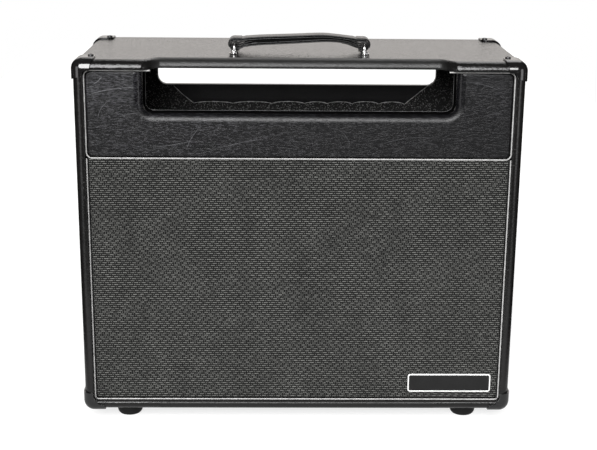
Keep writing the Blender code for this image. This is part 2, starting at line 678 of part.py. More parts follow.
finish("speaker_front_plate",
       lathe([(26.4, 66.3), (56.0, 66.3), (56.0, 74.3), (26.4, 74.3)], 32, c, "Y"), ZINC, at=c, smooth=30)
finish("speaker_magnet",
       lathe([(32.0, 74.6), (76.5, 74.6), (78.0, 76.0), (78.0, 93.0), (76.5, 94.4), (32.0, 94.4)], 36, c, "Y"),
       FERRITE, at=c, smooth=30)
finish("speaker_yoke",
       lathe([(6.0, 66.3), (23.8, 66.3), (23.8, 92.0), (25.0, 94.7), (60.0, 94.7), (60.0, 101.0), (58.0, 102.7), (6.0, 102.7)],
             32, c, "Y"), ZINC, at=c, smooth=30)
cone_rear = [(25.2, 45.6), (45.0, 34.6), (80.0, 20.0), (110.0, 8.6), (124.0, 3.6)]
cone_front = [(124.0, 2.6), (110.0, 7.5), (80.0, 18.8), (45.0, 33.2), (25.2, 44.2)]
finish("speaker_cone", lathe(cone_rear + cone_front, 36, c, "Y"), PAPER, at=c, parent=cone_travel, smooth=40)
cap = [(0.0, 20.0), (14.0, 21.3), (27.0, 26.0), (35.5, 33.0), (38.4, 35.4)]
cap_back = [(37.6, 35.4), (34.8, 33.8), (26.5, 27.0), (13.8, 22.3), (0.0, 21.0)]
finish("speaker_dust_cap", lathe(cap + cap_back, 28, c, "Y"), PAPER, at=c, parent=cone_travel, smooth=40)
finish("speaker_voice_coil",
       lathe([(24.6, 46.2), (25.5, 46.2), (25.5, 80.0), (24.6, 80.0)], 32, c, "Y"), COIL, at=c,
       parent=cone_travel, smooth=40)
roll = [(124.4, 3.6), (128.0, 0.9), (132.6, 2.8), (137.2, 0.9), (141.2, 3.6)]
finish("speaker_surround",
       lathe([(a, b) for a, b in roll] + [(a, b + 0.9) for a, b in reversed(roll)], 36, c, "Y"),
       PAPER, at=c, smooth=40)
wave = [(26.2, 56.2)] + [(30.0 + 4.8 * i, 56.2 + (1.8 if i % 2 else -0.2)) for i in range(5)] + [(54.5, 56.2)]
finish("speaker_spider",
       lathe([(a, b) for a, b in wave] + [(a, b + 0.8) for a, b in reversed(wave)], 24, c, "Y"),
       TREATED, at=c, smooth=40)
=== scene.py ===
import math

import bmesh
import bpy
import numpy as np
from mathutils import Matrix, Vector


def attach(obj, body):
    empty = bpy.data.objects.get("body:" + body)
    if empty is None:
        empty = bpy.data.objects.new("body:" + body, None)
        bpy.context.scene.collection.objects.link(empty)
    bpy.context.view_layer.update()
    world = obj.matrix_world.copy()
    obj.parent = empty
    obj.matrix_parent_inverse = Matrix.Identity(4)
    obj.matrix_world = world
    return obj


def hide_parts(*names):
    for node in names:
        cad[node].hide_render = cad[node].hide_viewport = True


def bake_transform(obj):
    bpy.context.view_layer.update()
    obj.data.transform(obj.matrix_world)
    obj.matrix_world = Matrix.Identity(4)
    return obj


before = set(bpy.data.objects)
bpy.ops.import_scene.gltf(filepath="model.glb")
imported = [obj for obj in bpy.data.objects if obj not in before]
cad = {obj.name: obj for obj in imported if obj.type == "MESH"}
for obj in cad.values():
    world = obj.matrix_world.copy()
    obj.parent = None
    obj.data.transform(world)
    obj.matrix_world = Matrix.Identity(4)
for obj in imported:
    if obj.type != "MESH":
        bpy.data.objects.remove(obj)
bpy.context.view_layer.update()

scene = bpy.context.scene

# Lengths are millimetres in the cabinet's own coordinates: x to the right, y from the
# front rim (0) to the rear rim (258), z from the underside of the box (0) to its top (513).
MM = 0.001
WIDTH, DEPTH, HEIGHT, FLOOR = 620.0, 258.0, 513.0, 20.0
ROUND, WALL, SKIN, GAP = 13.0, 13.3, 1.0, 0.3
RECESS, RECESS_X0, RECESS_X1 = 20.0, 191.0, 217.0
PIPING_R, PIPING_X, PIPING_Y = 1.3, 295.1, 8.0
PIPING_TOP, PIPING_MID, PIPING_LOW, STUB_X = 498.1, 375.9, 15.1, 204.5
PANEL_HALF, PANEL_Y0, PANEL_Y1 = 293.5, 8.5, 22.5
WINDOW_HALF, WINDOW_SILL, WINDOW_R, WINDOW_ROUND = 216.5, 437.8, 14.0, 12.0
BAFFLE_Y0, BAFFLE_Y1, INNER_HALF, INNER_LOW, INNER_TOP = 22.8, 37.8, 296.3, 13.6, 499.4
BACK_Y0, BACK_Y1, BACK_SILL, BACK_UPPER_LOW, BACK_LOWER_TOP = 243.5, 255.5, 441.0, 300.0, 130.0
HANDLE_Y, HANDLE_X, HANDLE_W, HANDLE_REACH, BAR_R, BAR_Z = 95.0, 92.0, 27.0, 18.8, 2.6, 524.6
SPEAKER_Y, SPEAKER_Z = 38.1, 195.0
EDGE_ROUND = 10.6          # the drawn vinyl follows the panel's rounded window edge a little tighter
FOOT_X, FOOT_Y = 249.0, 43.0


def to_world(points):
    p = np.asarray(points, float).reshape(-1, 3)
    return (p + np.array([0.0, -DEPTH / 2, FLOOR])) * MM


# ------------------------------------------------------------------ materials
class Finish:
    """A node material. Positions come in millimetres from the object's own coordinates."""

    def __init__(self, name):
        self.mat = bpy.data.materials.new(name)
        self.mat.use_nodes = True
        self.tree = self.mat.node_tree
        self.tree.nodes.clear()
        self.out = self.node("ShaderNodeOutputMaterial")
        self.bsdf = self.node("ShaderNodeBsdfPrincipled")
        self.tree.links.new(self.bsdf.outputs[0], self.out.inputs[0])
        coord = self.node("ShaderNodeTexCoord")
        self.mm = self.vec("MULTIPLY", coord.outputs["Object"], (1000.0, 1000.0, 1000.0))

    def node(self, kind, **props):
        n = self.tree.nodes.new(kind)
        for k, v in props.items():
            setattr(n, k, v)
        return n

    def put(self, socket, value):
        if isinstance(value, bpy.types.NodeSocket):
            self.tree.links.new(value, socket)
        elif isinstance(value, (tuple, list)) and len(value) == 3 and socket.type == "RGBA":
            socket.default_value = (*value, 1.0)
        else:
            socket.default_value = value

    def set(self, **values):
        for k, v in values.items():
            self.put(self.bsdf.inputs[k.replace("_", " ")], v)
        return self

    def vec(self, op, a, b=None):
        n = self.node("ShaderNodeVectorMath", operation=op)
        self.put(n.inputs[0], a)
        if b is not None:
            self.put(n.inputs[1], b)
        return n.outputs[0]

    def math(self, op, a, b=None, c=None, clamp=False):
        n = self.node("ShaderNodeMath", operation=op, use_clamp=clamp)
        self.put(n.inputs[0], a)
        if b is not None:
            self.put(n.inputs[1], b)
        if c is not None:
            self.put(n.inputs[2], c)
        return n.outputs[0]

    def total(self, *terms):
        out = terms[0]
        for t in terms[1:]:
            out = self.math("ADD", out, t)
        return out

    def split(self, vector):
        n = self.node("ShaderNodeSeparateXYZ")
        self.put(n.inputs[0], vector)
        return n.outputs[0], n.outputs[1], n.outputs[2]

    def join(self, x, y, z):
        n = self.node("ShaderNodeCombineXYZ")
        for s, v in zip(n.inputs, (x, y, z)):
            self.put(s, v)
        return n.outputs[0]

    def turn(self, vector, degrees=(0, 0, 0), scale=(1, 1, 1), move=(0, 0, 0)):
        n = self.node("ShaderNodeMapping")
        self.put(n.inputs["Vector"], vector)
        n.inputs["Rotation"].default_value = [math.radians(d) for d in degrees]
        n.inputs["Scale"].default_value = scale
        n.inputs["Location"].default_value = move
        return n.outputs[0]

    def noise(self, size, detail=2.0, rough=0.5, vector=None, distortion=0.0, colour=False):
        n = self.node("ShaderNodeTexNoise", noise_dimensions="3D")
        self.put(n.inputs["Vector"], vector if vector is not None else self.mm)
        n.inputs["Scale"].default_value = 1.0 / size
        n.inputs["Detail"].default_value = detail
        n.inputs["Roughness"].default_value = rough
        n.inputs["Distortion"].default_value = distortion
        return n.outputs["Color" if colour else "Fac"]

    def cells(self, size, feature="DISTANCE_TO_EDGE", vector=None, randomness=1.0, out="Distance"):
        n = self.node("ShaderNodeTexVoronoi", voronoi_dimensions="3D", feature=feature)
        self.put(n.inputs["Vector"], vector if vector is not None else self.mm)
        n.inputs["Scale"].default_value = 1.0 / size
        n.inputs["Randomness"].default_value = randomness
        return n.outputs[out]

    def warped(self, size, amount, vector=None):
        """Coordinates shifted by a smooth noise of the given size, by up to amount mm."""
        base = vector if vector is not None else self.mm
        c = self.noise(size, 1.0, 0.5, base, colour=True)
        c = self.vec("SUBTRACT", c, (0.5, 0.5, 0.5))
        c = self.vec("MULTIPLY", c, (2 * amount, 2 * amount, 2 * amount))
        return self.vec("ADD", base, c)

    def remap(self, value, a, b, c=0.0, d=1.0, smooth=True):
        n = self.node("ShaderNodeMapRange", interpolation_type="SMOOTHSTEP" if smooth else "LINEAR")
        self.put(n.inputs["Value"], value)
        for name, v in (("From Min", a), ("From Max", b), ("To Min", c), ("To Max", d)):
            n.inputs[name].default_value = v
        return n.outputs[0]

    def mix(self, factor, a, b):
        n = self.node("ShaderNodeMix", data_type="RGBA")
        self.put(n.inputs[0], factor)
        self.put(n.inputs[6], a)
        self.put(n.inputs[7], b)
        return n.outputs[2]

    def blend(self, factor, a, b):
        n = self.node("ShaderNodeMix", data_type="FLOAT")
        self.put(n.inputs[0], factor)
        self.put(n.inputs[2], a)
        self.put(n.inputs[3], b)
        return n.outputs[0]

    def bump(self, height, depth, normal=None, strength=1.0):
        """depth is the relief in mm between height 0 and 1."""
        n = self.node("ShaderNodeBump")
        n.inputs["Strength"].default_value = strength
        n.inputs["Distance"].default_value = depth * MM
        self.put(n.inputs["Height"], height)
        if normal is not None:
            self.put(n.inputs["Normal"], normal)
        return n.outputs[0]


def vinyl(name, dark, light, rough, depth, grain=2.3, crease=12.0, spec=0.36, drawn=0.0, dull_strip=0.0, sides=None):
    """Black cabinet vinyl: warped pebbles, sparse creases, fine tooth. drawn adds wrinkles that run sideways.

    sides is the paler colour of the raised grain on the box's big outer sides: painted light, which makes those sides
    read as lit.
    """
    f = Finish(name)
    at = f.warped(5.0, 0.8)
    edge = f.cells(grain, vector=at)
    pebble = f.remap(edge, 0.0, 0.30)
    big = f.cells(crease, vector=f.warped(9.0, 3.2))
    line = f.remap(big, 0.0, 0.05)
    where = f.remap(f.noise(26.0, 2.0), 0.42, 0.62)
    line = f.blend(where, 1.0, line)
    tooth = f.noise(0.45, 3.0, 0.6)
    swell = f.noise(7.0, 2.0)
    height = f.total(f.math("MULTIPLY", pebble, 0.45), f.math("MULTIPLY", line, 0.30),
                     f.math("MULTIPLY", tooth, 0.16), f.math("MULTIPLY", swell, 0.55))
    if drawn:
        ridge = f.remap(f.noise(2.7, 2.0, 0.5, f.turn(f.warped(8.0, 2.4), scale=(0.36, 0.8, 1.0))), 0.50, 0.68)
        height = f.math("ADD", height, f.math("MULTIPLY", ridge, drawn))
    tone = f.total(f.math("MULTIPLY", pebble, 0.55), f.math("MULTIPLY", f.noise(34.0, 3.0), 0.9), -0.35)
    gloss = f.total(rough - 0.05, f.math("MULTIPLY", f.noise(3.0, 3.0), 0.16), f.math("MULTIPLY", pebble, -0.05))
    if dull_strip:
        # the separate strip over the set-back edge is duller
        x, y, z = f.split(f.mm)
        strip = f.math("MULTIPLY", f.remap(f.math("ABSOLUTE", x), 196.0, 208.0, 1.0, 0.0), f.remap(y, -98.5, -94.0, 1.0, 0.0))
        gloss = f.math("ADD", gloss, f.math("MULTIPLY", strip, dull_strip))
    base = f.mix(f.math("MULTIPLY", tone, 1.0, clamp=True), dark, light)
    # painted light: on the box's big outer sides the raised grain is made paler, so those sides read as lit
    if sides:
        x, y, z = f.split(f.mm)
        side_light_mask = f.math("MULTIPLY", f.remap(f.math("ABSOLUTE", x), 308.6, 309.8), f.remap(y, -119.0, -110.0))
        painted_side_light = f.total(f.math("MULTIPLY", pebble, 0.60), f.math("MULTIPLY", f.noise(34.0, 3.0), 0.8),
                         f.math("MULTIPLY", f.noise(2.6, 2.0, 0.6), 0.9), -0.95)
        painted_side_light = f.math("MULTIPLY", painted_side_light, f.blend(line, 0.25, 1.0), clamp=True)
        base = f.mix(side_light_mask, base, f.mix(painted_side_light, dark, sides))
    f.set(Base_Color=base, Roughness=gloss, Normal=f.bump(height, depth), Specular_IOR_Level=spec)
    return f.mat


# sides= is the painted light on the box's big outer sides
BOX_VINYL = vinyl("box_vinyl", (0.0030, 0.0029, 0.0029), (0.0085, 0.0082, 0.0080), 0.185, 0.080, spec=0.40, drawn=1.15, dull_strip=0.24,
                  sides=(0.060, 0.059, 0.058))
FLAP_VINYL = vinyl("flap_vinyl", (0.0030, 0.0029, 0.0034), (0.0100, 0.0098, 0.0110), 0.42, 0.16, grain=2.0, crease=14.0, spec=0.18)


def crease(f, flat, a, b, c, width, power):
    """A line along the circle through three (x, z) points, fading at its ends: it raises a crease and carries its
    painted highlight.
    """
    (ax, az), (bx, bz), (cx, cz) = a, b, c
    d = 2 * (ax * (bz - cz) + bx * (cz - az) + cx * (az - bz))
    ux = ((ax * ax + az * az) * (bz - cz) + (bx * bx + bz * bz) * (cz - az) + (cx * cx + cz * cz) * (az - bz)) / d
    uz = ((ax * ax + az * az) * (cx - bx) + (bx * bx + bz * bz) * (ax - cx) + (cx * cx + cz * cz) * (bx - ax)) / d
    radius = math.hypot(ax - ux, az - uz)
    mid = ((ax + cx) / 2, (az + cz) / 2)
    half = math.hypot(ax - cx, az - cz) / 2
    off = f.node("ShaderNodeVectorMath", operation="DISTANCE")
    f.put(off.inputs[0], flat)
    off.inputs[1].default_value = (ux, 0.0, uz + FLOOR)
    line = f.remap(f.math("ABSOLUTE", f.math("SUBTRACT", off.outputs["Value"], radius)), 0.15 * width, width, power, 0.0)
    away = f.node("ShaderNodeVectorMath", operation="DISTANCE")
    f.put(away.inputs[0], flat)
    away.inputs[1].default_value = (mid[0], 0.0, mid[1] + FLOOR)
    return f.math("MULTIPLY", line, f.remap(away.outputs["Value"], half * 0.7, half * 1.05, 1.0, 0.0))


CREASES = [((-289.8, 464.0), (-267.8, 470.3), (-221.3, 474.1), 0.75, 0.9), ((-282.5, 478.5), (-276.0, 483.3), (-269.9, 488.9), 0.7, 1.0),
           ((-277.4, 430.7), (-271.3, 447.5), (-255.9, 459.3), 0.6, 0.6), ((-249.8, 433.7), (-235.0, 437.6), (-219.5, 439.4), 0.6, 0.6),
           ((-157.2, 387.8), (-150.0, 403.4), (-137.4, 420.3), 0.6, 0.7), ((-117.0, 389.4), (-82.3, 398.1), (-51.9, 403.9), 0.6, 0.6),
           ((-206.9, 391.8), (-176.4, 394.8), (-144.5, 402.0), 0.6, 0.6), ((-142.8, 427.3), (-116.6, 431.0), (-82.2, 431.9), 0.6, 0.5),
           ((228.9, 485.1), (246.9, 482.5), (269.3, 475.7), 0.6, 0.45), ((254.6, 438.0), (268.0, 440.6), (280.7, 442.3), 0.6, 0.45),
           ((42.0, 419.9), (63.0, 410.2), (70.3, 391.9), 0.5, 0.35), ((111.9, 396.3), (153.2, 406.5), (195.0, 405.3), 0.5, 0.35)]


def make_panel_vinyl():
    """Softer vinyl of the front panel: leathery grain drawn out sideways, with a few long creases whose paler colour is
    a painted highlight.
    """
    f = Finish("panel_vinyl_finish")
    x, y, z = f.split(f.mm)
    at = f.warped(7.0, 1.8)
    flat = f.turn(at, degrees=(0, 4, 0), scale=(0.45, 1.0, 1.0))
    grain = f.remap(f.cells(1.9, vector=flat), 0.0, 0.24)
    folds = f.noise(1.9, 3.0, 0.6, f.turn(at, degrees=(0, -6, 0), scale=(0.34, 1.0, 1.0)))
    wx, wy, wz = f.split(f.warped(5.0, 0.8))
    ground = f.join(wx, 0.0, wz)
    lines = None
    for a_, b_, c_, width, power in CREASES:
        one = crease(f, ground, a_, b_, c_, width, power)
        lines = one if lines is None else f.math("MAXIMUM", lines, one)
    # finer scratches of the grain between them, mostly on the left; side also scales the tone, a painted light that
    # makes the panel paler towards the left
    side = f.remap(x, -230.0, 160.0, 1.0, 0.35)
    slant = f.cells(17.0, vector=f.turn(f.warped(12.0, 4.0), degrees=(0, -33, 0), scale=(0.45, 1.0, 1.0), move=(9, 0, 71)))
    run = f.remap(f.noise(9.0, 1.0, 0.5, f.turn(f.mm, move=(3.0, 57.0, 23.0))), 0.52, 0.62)
    hair = f.math("MULTIPLY", f.math("MULTIPLY", f.remap(slant, 0.0, 0.022, 1.0, 0.0), run), f.math("MULTIPLY", side, 0.38))
    lines = f.math("MAXIMUM", lines, hair)
    thread = f.remap(f.noise(1.25, 2.0, 0.6, f.turn(f.warped(12.0, 1.5), degrees=(0, 3, 0), scale=(0.15, 1.0, 1.0), move=(4.0, 0.0, 9.0))), 0.50, 0.64)
    height = f.total(f.math("MULTIPLY", grain, 0.45), f.math("MULTIPLY", folds, 0.85), f.math("MULTIPLY", thread, 0.9),
                     f.math("MULTIPLY", lines, 0.45), f.math("MULTIPLY", f.noise(0.45, 2.0), 0.14),
                     f.math("MULTIPLY", f.noise(22.0, 2.0), 1.2))
    # where it is pulled round the window's upright edges it is tight and shinier
    tight = f.math("MULTIPLY", f.remap(f.math("ABSOLUTE", x), 226.5, 229.0, 1.0, 0.0), f.remap(z, 440.0 + FLOOR, 452.0 + FLOOR))
    height = f.math("MULTIPLY", height, f.blend(tight, 1.0, 0.40))
    # painted light: tall makes the panel's tone paler towards its top
    tall = f.remap(z, 425.0 + FLOOR, 480.0 + FLOOR, 0.0, 0.30)
    tone = f.math("MULTIPLY", f.total(f.math("MULTIPLY", folds, 2.4), f.math("MULTIPLY", grain, 0.30), f.math("MULTIPLY", thread, 0.60), tall, -1.50), side, clamp=True)
    base = f.mix(tone, (0.0016, 0.0016, 0.0020), (0.031, 0.0306, 0.0350))
    # painted highlight: the creases and scratches are painted paler along their ridges
    base = f.mix(f.math("MULTIPLY", lines, 0.8), base, (0.10, 0.10, 0.106))
    f.set(Base_Color=base, Roughness=f.total(0.29, f.math("MULTIPLY", folds, 0.16), f.math("MULTIPLY", tight, -0.11)),
          Normal=f.bump(height, 0.085), Specular_IOR_Level=0.33)
    return f.mat


PANEL_VINYL = make_panel_vinyl()
BACK_VINYL = vinyl("back_panel_vinyl", (0.0035, 0.0035, 0.0040), (0.0300, 0.0295, 0.0305), 0.34, 0.26, grain=2.2, crease=16.0, spec=0.36)


def make_piping():
    """Braided silver cord."""
    f = Finish("silver_cord")
    fibre = f.noise(0.35, 3.0, 0.6)
    dirt = f.noise(11.0, 3.0, 0.6)
    tone = f.total(f.math("MULTIPLY", fibre, 0.8), f.math("MULTIPLY", dirt, 0.9), -0.35)
    f.set(Base_Color=f.mix(f.math("MULTIPLY", tone, 1.0, clamp=True), (0.13, 0.128, 0.126), (0.58, 0.577, 0.57)),
          Roughness=f.remap(dirt, 0.3, 0.7, 0.32, 0.5), Metallic=0.15,
          Normal=f.bump(fibre, 0.12))
    return f.mat


PIPING = make_piping()


def make_weave():
    """Grille cloth: pale wefts 2.95 mm apart that float over the black warps and dip under two in every four."""
    f = Finish("grille_weave_finish")
    wob = f.vec("MULTIPLY", f.vec("SUBTRACT", f.noise(60.0, 2.0, 0.5, colour=True), (0.5, 0.5, 0.5)), (2.6, 2.6, 2.6))
    near = f.vec("MULTIPLY", f.vec("SUBTRACT", f.noise(6.0, 1.0, 0.5, colour=True), (0.5, 0.5, 0.5)), (1.5, 1.5, 0.7))
    x, y, z = f.split(f.vec("ADD", f.vec("ADD", f.mm, wob), near))
    x0, y0, z0 = f.split(f.mm)
    v = f.math("DIVIDE", z, 2.95)
    row = f.math("FLOOR", v)
    shift = f.math("MULTIPLY", f.math("FLOORED_MODULO", f.math("MULTIPLY", row, 1.0), 2.0), 5.2)
    drift = f.math("MULTIPLY", f.math("FLOORED_MODULO", f.math("FLOOR", f.math("MULTIPLY", row, 0.5)), 2.0), 2.6)
    u = f.math("FLOORED_MODULO", f.total(x, shift, drift), 10.4)         # 0..10.4 along one repeat
    first = f.math("ABSOLUTE", f.math("SUBTRACT", u, 1.6))
    second = f.math("ABSOLUTE", f.math("SUBTRACT", u, 4.4))
    dip = f.math("MINIMUM", first, second)
    over = f.remap(dip, 0.45, 1.25)                                      # 0 where a warp covers the weft
    hump_v = f.math("SINE", f.math("MULTIPLY", f.math("FRACT", v), math.pi))
    # painted shade: along the cloth's sides and bottom the pale wefts are left out, so the gap beside the piping reads
    # dark
    painted_edge_shade = f.math("MULTIPLY", f.remap(f.math("ABSOLUTE", x0), 291.2, 292.6, 1.0, 0.0), f.remap(z0, 17.0 + FLOOR, 18.6 + FLOOR))
    dash = f.math("MULTIPLY", f.math("MULTIPLY", f.remap(hump_v, 0.64, 0.97), f.blend(over, 0.04, 1.0)), painted_edge_shade)
    yarn = f.noise(1.0, 1.0, 0.5, f.join(f.math("MULTIPLY", x, 0.035), 0.0, f.math("MULTIPLY", row, 3.7)))
    bit = f.noise(1.0, 1.0, 0.5, f.join(f.math("MULTIPLY", x, 0.16), 0.0, f.math("MULTIPLY", row, 9.1)))
    fibre = f.noise(0.30, 2.0, 0.6, f.turn(f.mm, scale=(0.16, 1.0, 1.0)))
    bright = f.total(f.math("MULTIPLY", yarn, 0.7), f.math("MULTIPLY", bit, 1.1), f.math("MULTIPLY", fibre, 0.5),
                     f.math("MULTIPLY", f.noise(38.0, 2.0, 0.5, f.turn(f.mm, degrees=(0, 35, 0), scale=(1.0, 1.0, 0.4))), 0.55), -0.96)
    light = f.mix(f.math("MULTIPLY", bright, 1.0, clamp=True), (0.038, 0.0385, 0.0365), (0.166, 0.167, 0.158))
    dark = f.mix(f.noise(0.5, 2.0), (0.0012, 0.0012, 0.0012), (0.0040, 0.0040, 0.0039))
    height = f.total(f.math("MULTIPLY", hump_v, f.math("MULTIPLY", over, 0.8)), f.math("MULTIPLY", f.math("SUBTRACT", 1.0, over), 0.55),
                     f.math("MULTIPLY", fibre, 0.2))
    f.set(Base_Color=f.mix(dash, dark, light), Roughness=f.blend(dash, 0.80, 0.64),
          Normal=f.bump(height, 0.30), Specular_IOR_Level=0.12, Sheen_Weight=0.03, Sheen_Roughness=0.5)
    return f.mat


WEAVE = make_weave()


def make_plastic():
    """Moulded glossy black plastic with a faint orange peel and scuffs."""
    f = Finish("corner_plastic")
    peel = f.noise(2.4, 2.0, 0.5)
    scuff = f.remap(f.noise(1.2, 4.0, 0.7, f.turn(f.mm, degrees=(20, 35, 10), scale=(0.25, 1.0, 1.0))), 0.55, 0.72)
    wear = f.math("MULTIPLY", scuff, f.remap(f.noise(15.0, 2.0), 0.45, 0.65))
    f.set(Base_Color=f.mix(wear, (0.0040, 0.0040, 0.0042), (0.014, 0.014, 0.014)),
          Roughness=f.total(0.08, f.math("MULTIPLY", wear, 0.25), f.math("MULTIPLY", f.noise(0.6, 2.0), 0.05)),
          Normal=f.bump(peel, 0.030), Specular_IOR_Level=0.75)
    return f.mat


PLASTIC = make_plastic()


def metal(name, dark, light, rough, metallic=1.0, grain=0.25, depth=0.02, spots=9.0):
    f = Finish(name)
    fine = f.noise(grain, 3.0, 0.6)
    patch = f.noise(spots, 3.0, 0.6)
    tone = f.total(f.math("MULTIPLY", fine, 0.4), f.math("MULTIPLY", patch, 1.2), -0.3)
    f.set(Base_Color=f.mix(f.math("MULTIPLY", tone, 1.0, clamp=True), dark, light),
          Roughness=f.total(rough - 0.06, f.math("MULTIPLY", patch, 0.12), f.math("MULTIPLY", fine, 0.05)),
          Normal=f.bump(fine, depth), Metallic=metallic)
    return f.mat


CHROME = metal("handle_chrome_finish", (0.62, 0.61, 0.60), (0.86, 0.86, 0.86), 0.10, depth=0.006)
SCREW = metal("black_screw_finish", (0.030, 0.030, 0.031), (0.085, 0.085, 0.086), 0.20, 0.9, depth=0.006)
ZINC = metal("zinc_finish", (0.36, 0.36, 0.37), (0.62, 0.62, 0.64), 0.30, grain=0.6, depth=0.02)
BASKET = metal("basket_paint_finish", (0.022, 0.022, 0.023), (0.040, 0.040, 0.042), 0.45, 0.3, grain=0.9, depth=0.05)
COIL = metal("coil_copper_finish", (0.48, 0.22, 0.10), (0.66, 0.34, 0.17), 0.35)
BADGE_RIM = metal("badge_border", (0.66, 0.66, 0.65), (0.82, 0.82, 0.81), 0.30, 0.25, grain=0.5, depth=0.015)


def matte(name, dark, light, rough, depth, size=1.0, patch=20.0, spec=0.4, detail=4.0):
    f = Finish(name)
    fine = f.noise(size, detail, 0.65)
    slow = f.noise(patch, 3.0, 0.55)
    tone = f.total(f.math("MULTIPLY", fine, 0.9), f.math("MULTIPLY", slow, 0.8), -0.35)
    f.set(Base_Color=f.mix(f.math("MULTIPLY", tone, 1.0, clamp=True), dark, light),
          Roughness=f.total(rough - 0.05, f.math("MULTIPLY", fine, 0.1)),
          Normal=f.bump(fine, depth), Specular_IOR_Level=spec)
    return f.mat


BADGE_BLACK = matte("badge_field", (0.003, 0.003, 0.003), (0.010, 0.010, 0.010), 0.42, 0.02, size=0.5, spec=0.25)
RUBBER = matte("foot_rubber_finish", (0.004, 0.004, 0.004), (0.010, 0.010, 0.010), 0.50, 0.04, size=0.5, spec=0.16)
FERRITE = matte("ferrite_finish", (0.030, 0.030, 0.033), (0.062, 0.062, 0.066), 0.62, 0.04, size=0.4)
LINING = matte("window_lining_finish", (0.0012, 0.0012, 0.0013), (0.0040, 0.0039, 0.0040), 0.90, 0.10, size=0.9, spec=0.0)
# painted highlight: the pale colour of the bead along the window lining's rear edge
EDGE_HIGHLIGHT = matte("window_edge_painted_highlight", (0.030, 0.030, 0.030), (0.150, 0.150, 0.150), 0.45, 0.10, size=1.2, patch=11.0)
CUT_EDGE = matte("cut_vinyl_edge", (0.12, 0.12, 0.122), (0.60, 0.60, 0.595), 0.6, 0.15, size=1.4, patch=14.0)


def speckled(name):
    """Torn, rough black paint over board: pale chips between dark pits."""
    f = Finish(name)
    chips = f.remap(f.cells(2.3, feature="F1", vector=f.warped(3.0, 1.0)), 0.20, 0.46, 1.0, 0.0)
    where = f.remap(f.noise(4.5, 3.0, 0.65), 0.38, 0.54)
    pale = f.math("MULTIPLY", chips, where)
    f.set(Base_Color=f.mix(pale, (0.0018, 0.0018, 0.0018), (0.20, 0.20, 0.196)), Roughness=f.blend(pale, 0.85, 0.6),
          Normal=f.bump(f.total(pale, f.math("MULTIPLY", f.noise(1.2, 3.0), 0.6)), 0.8))
    return f.mat


def make_board(name, along, dark, light, rough=0.62, depth=0.14):
    """Black stained plywood: grain drawn out along one axis, pores and a few knots."""
    f = Finish(name)
    stretch = {"X": (0.045, 1.0, 1.0), "Y": (1.0, 0.045, 1.0), "Z": (1.0, 1.0, 0.045)}[along]
    at = f.warped(40.0, 5.0)
    grain = f.noise(3.2, 4.0, 0.62, f.turn(at, scale=stretch))
    pore = f.remap(f.noise(0.9, 2.0, 0.6, f.turn(at, scale=stretch)), 0.56, 0.68)
    slow = f.noise(45.0, 2.0)
    tone = f.total(f.math("MULTIPLY", grain, 1.3), f.math("MULTIPLY", slow, 0.5), -0.45)
    f.set(Base_Color=f.mix(f.math("MULTIPLY", tone, 1.0, clamp=True), dark, light),
          Roughness=f.total(rough, f.math("MULTIPLY", grain, 0.12)),
          Normal=f.bump(f.math("SUBTRACT", f.math("MULTIPLY", grain, 0.7), f.math("MULTIPLY", pore, 0.5)), depth),
          Specular_IOR_Level=0.35)
    return f.mat


RAW_BLACK = speckled("rough_black_board")
CORE = matte("strap_core_finish", (0.0010, 0.0010, 0.0010), (0.0045, 0.0044, 0.0043), 0.85, 0.08, size=0.8, spec=0.05)
BOARD_X = make_board("stained_board_x", "X", (0.0045, 0.0043, 0.0042), (0.020, 0.0190, 0.0185))
BOARD_Z = make_board("stained_board_z", "Z", (0.0045, 0.0043, 0.0042), (0.020, 0.0190, 0.0185))
BOARD_Y = make_board("stained_board_y", "Y", (0.0050, 0.0048, 0.0046), (0.022, 0.0210, 0.0205))


def make_strap():
    """Smooth handle vinyl with a fine grain and a slow change of gloss along the strap."""
    f = Finish("strap_vinyl_finish")
    pebble = f.remap(f.cells(1.1, vector=f.warped(4.0, 0.6)), 0.0, 0.35)
    tooth = f.noise(0.4, 3.0, 0.6)
    slow = f.noise(12.0, 2.0)
    rub = f.remap(f.noise(3.0, 3.0, 0.65, f.turn(f.mm, scale=(0.3, 1.0, 1.0))), 0.52, 0.70)
    tone = f.total(f.math("MULTIPLY", pebble, 0.35), f.math("MULTIPLY", slow, 0.7), f.math("MULTIPLY", rub, 0.5), -0.25)
    f.set(Base_Color=f.mix(f.math("MULTIPLY", tone, 1.0, clamp=True), (0.0018, 0.0018, 0.0019), (0.0085, 0.0084, 0.0085)),
          Roughness=f.total(0.20, f.math("MULTIPLY", slow, 0.12), f.math("MULTIPLY", rub, 0.08)),
          Normal=f.bump(f.total(f.math("MULTIPLY", pebble, 0.4), f.math("MULTIPLY", tooth, 0.2), f.math("MULTIPLY", slow, 0.6)), 0.03),
          Specular_IOR_Level=0.22)
    return f.mat


STRAP = make_strap()
PLY_EDGE = matte("strap_ply_edge", (0.002, 0.002, 0.002), (0.028, 0.028, 0.028), 0.36, 0.05, size=0.9, patch=7.0, spec=0.22)


def make_cone():
    """Pressed paper: fibres, and a slight darker blotching."""
    f = Finish("cone_paper_finish")
    fibre = f.noise(0.8, 4.0, 0.7, f.warped(3.0, 1.0))
    blot = f.noise(16.0, 3.0)
    tone = f.total(f.math("MULTIPLY", fibre, 0.9), f.math("MULTIPLY", blot, 0.7), -0.3)
    f.set(Base_Color=f.mix(f.math("MULTIPLY", tone, 1.0, clamp=True), (0.022, 0.021, 0.020), (0.060, 0.057, 0.054)),
          Roughness=f.total(0.78, f.math("MULTIPLY", fibre, 0.14)), Normal=f.bump(fibre, 0.18), Specular_IOR_Level=0.25)
    return f.mat


CONE = make_cone()


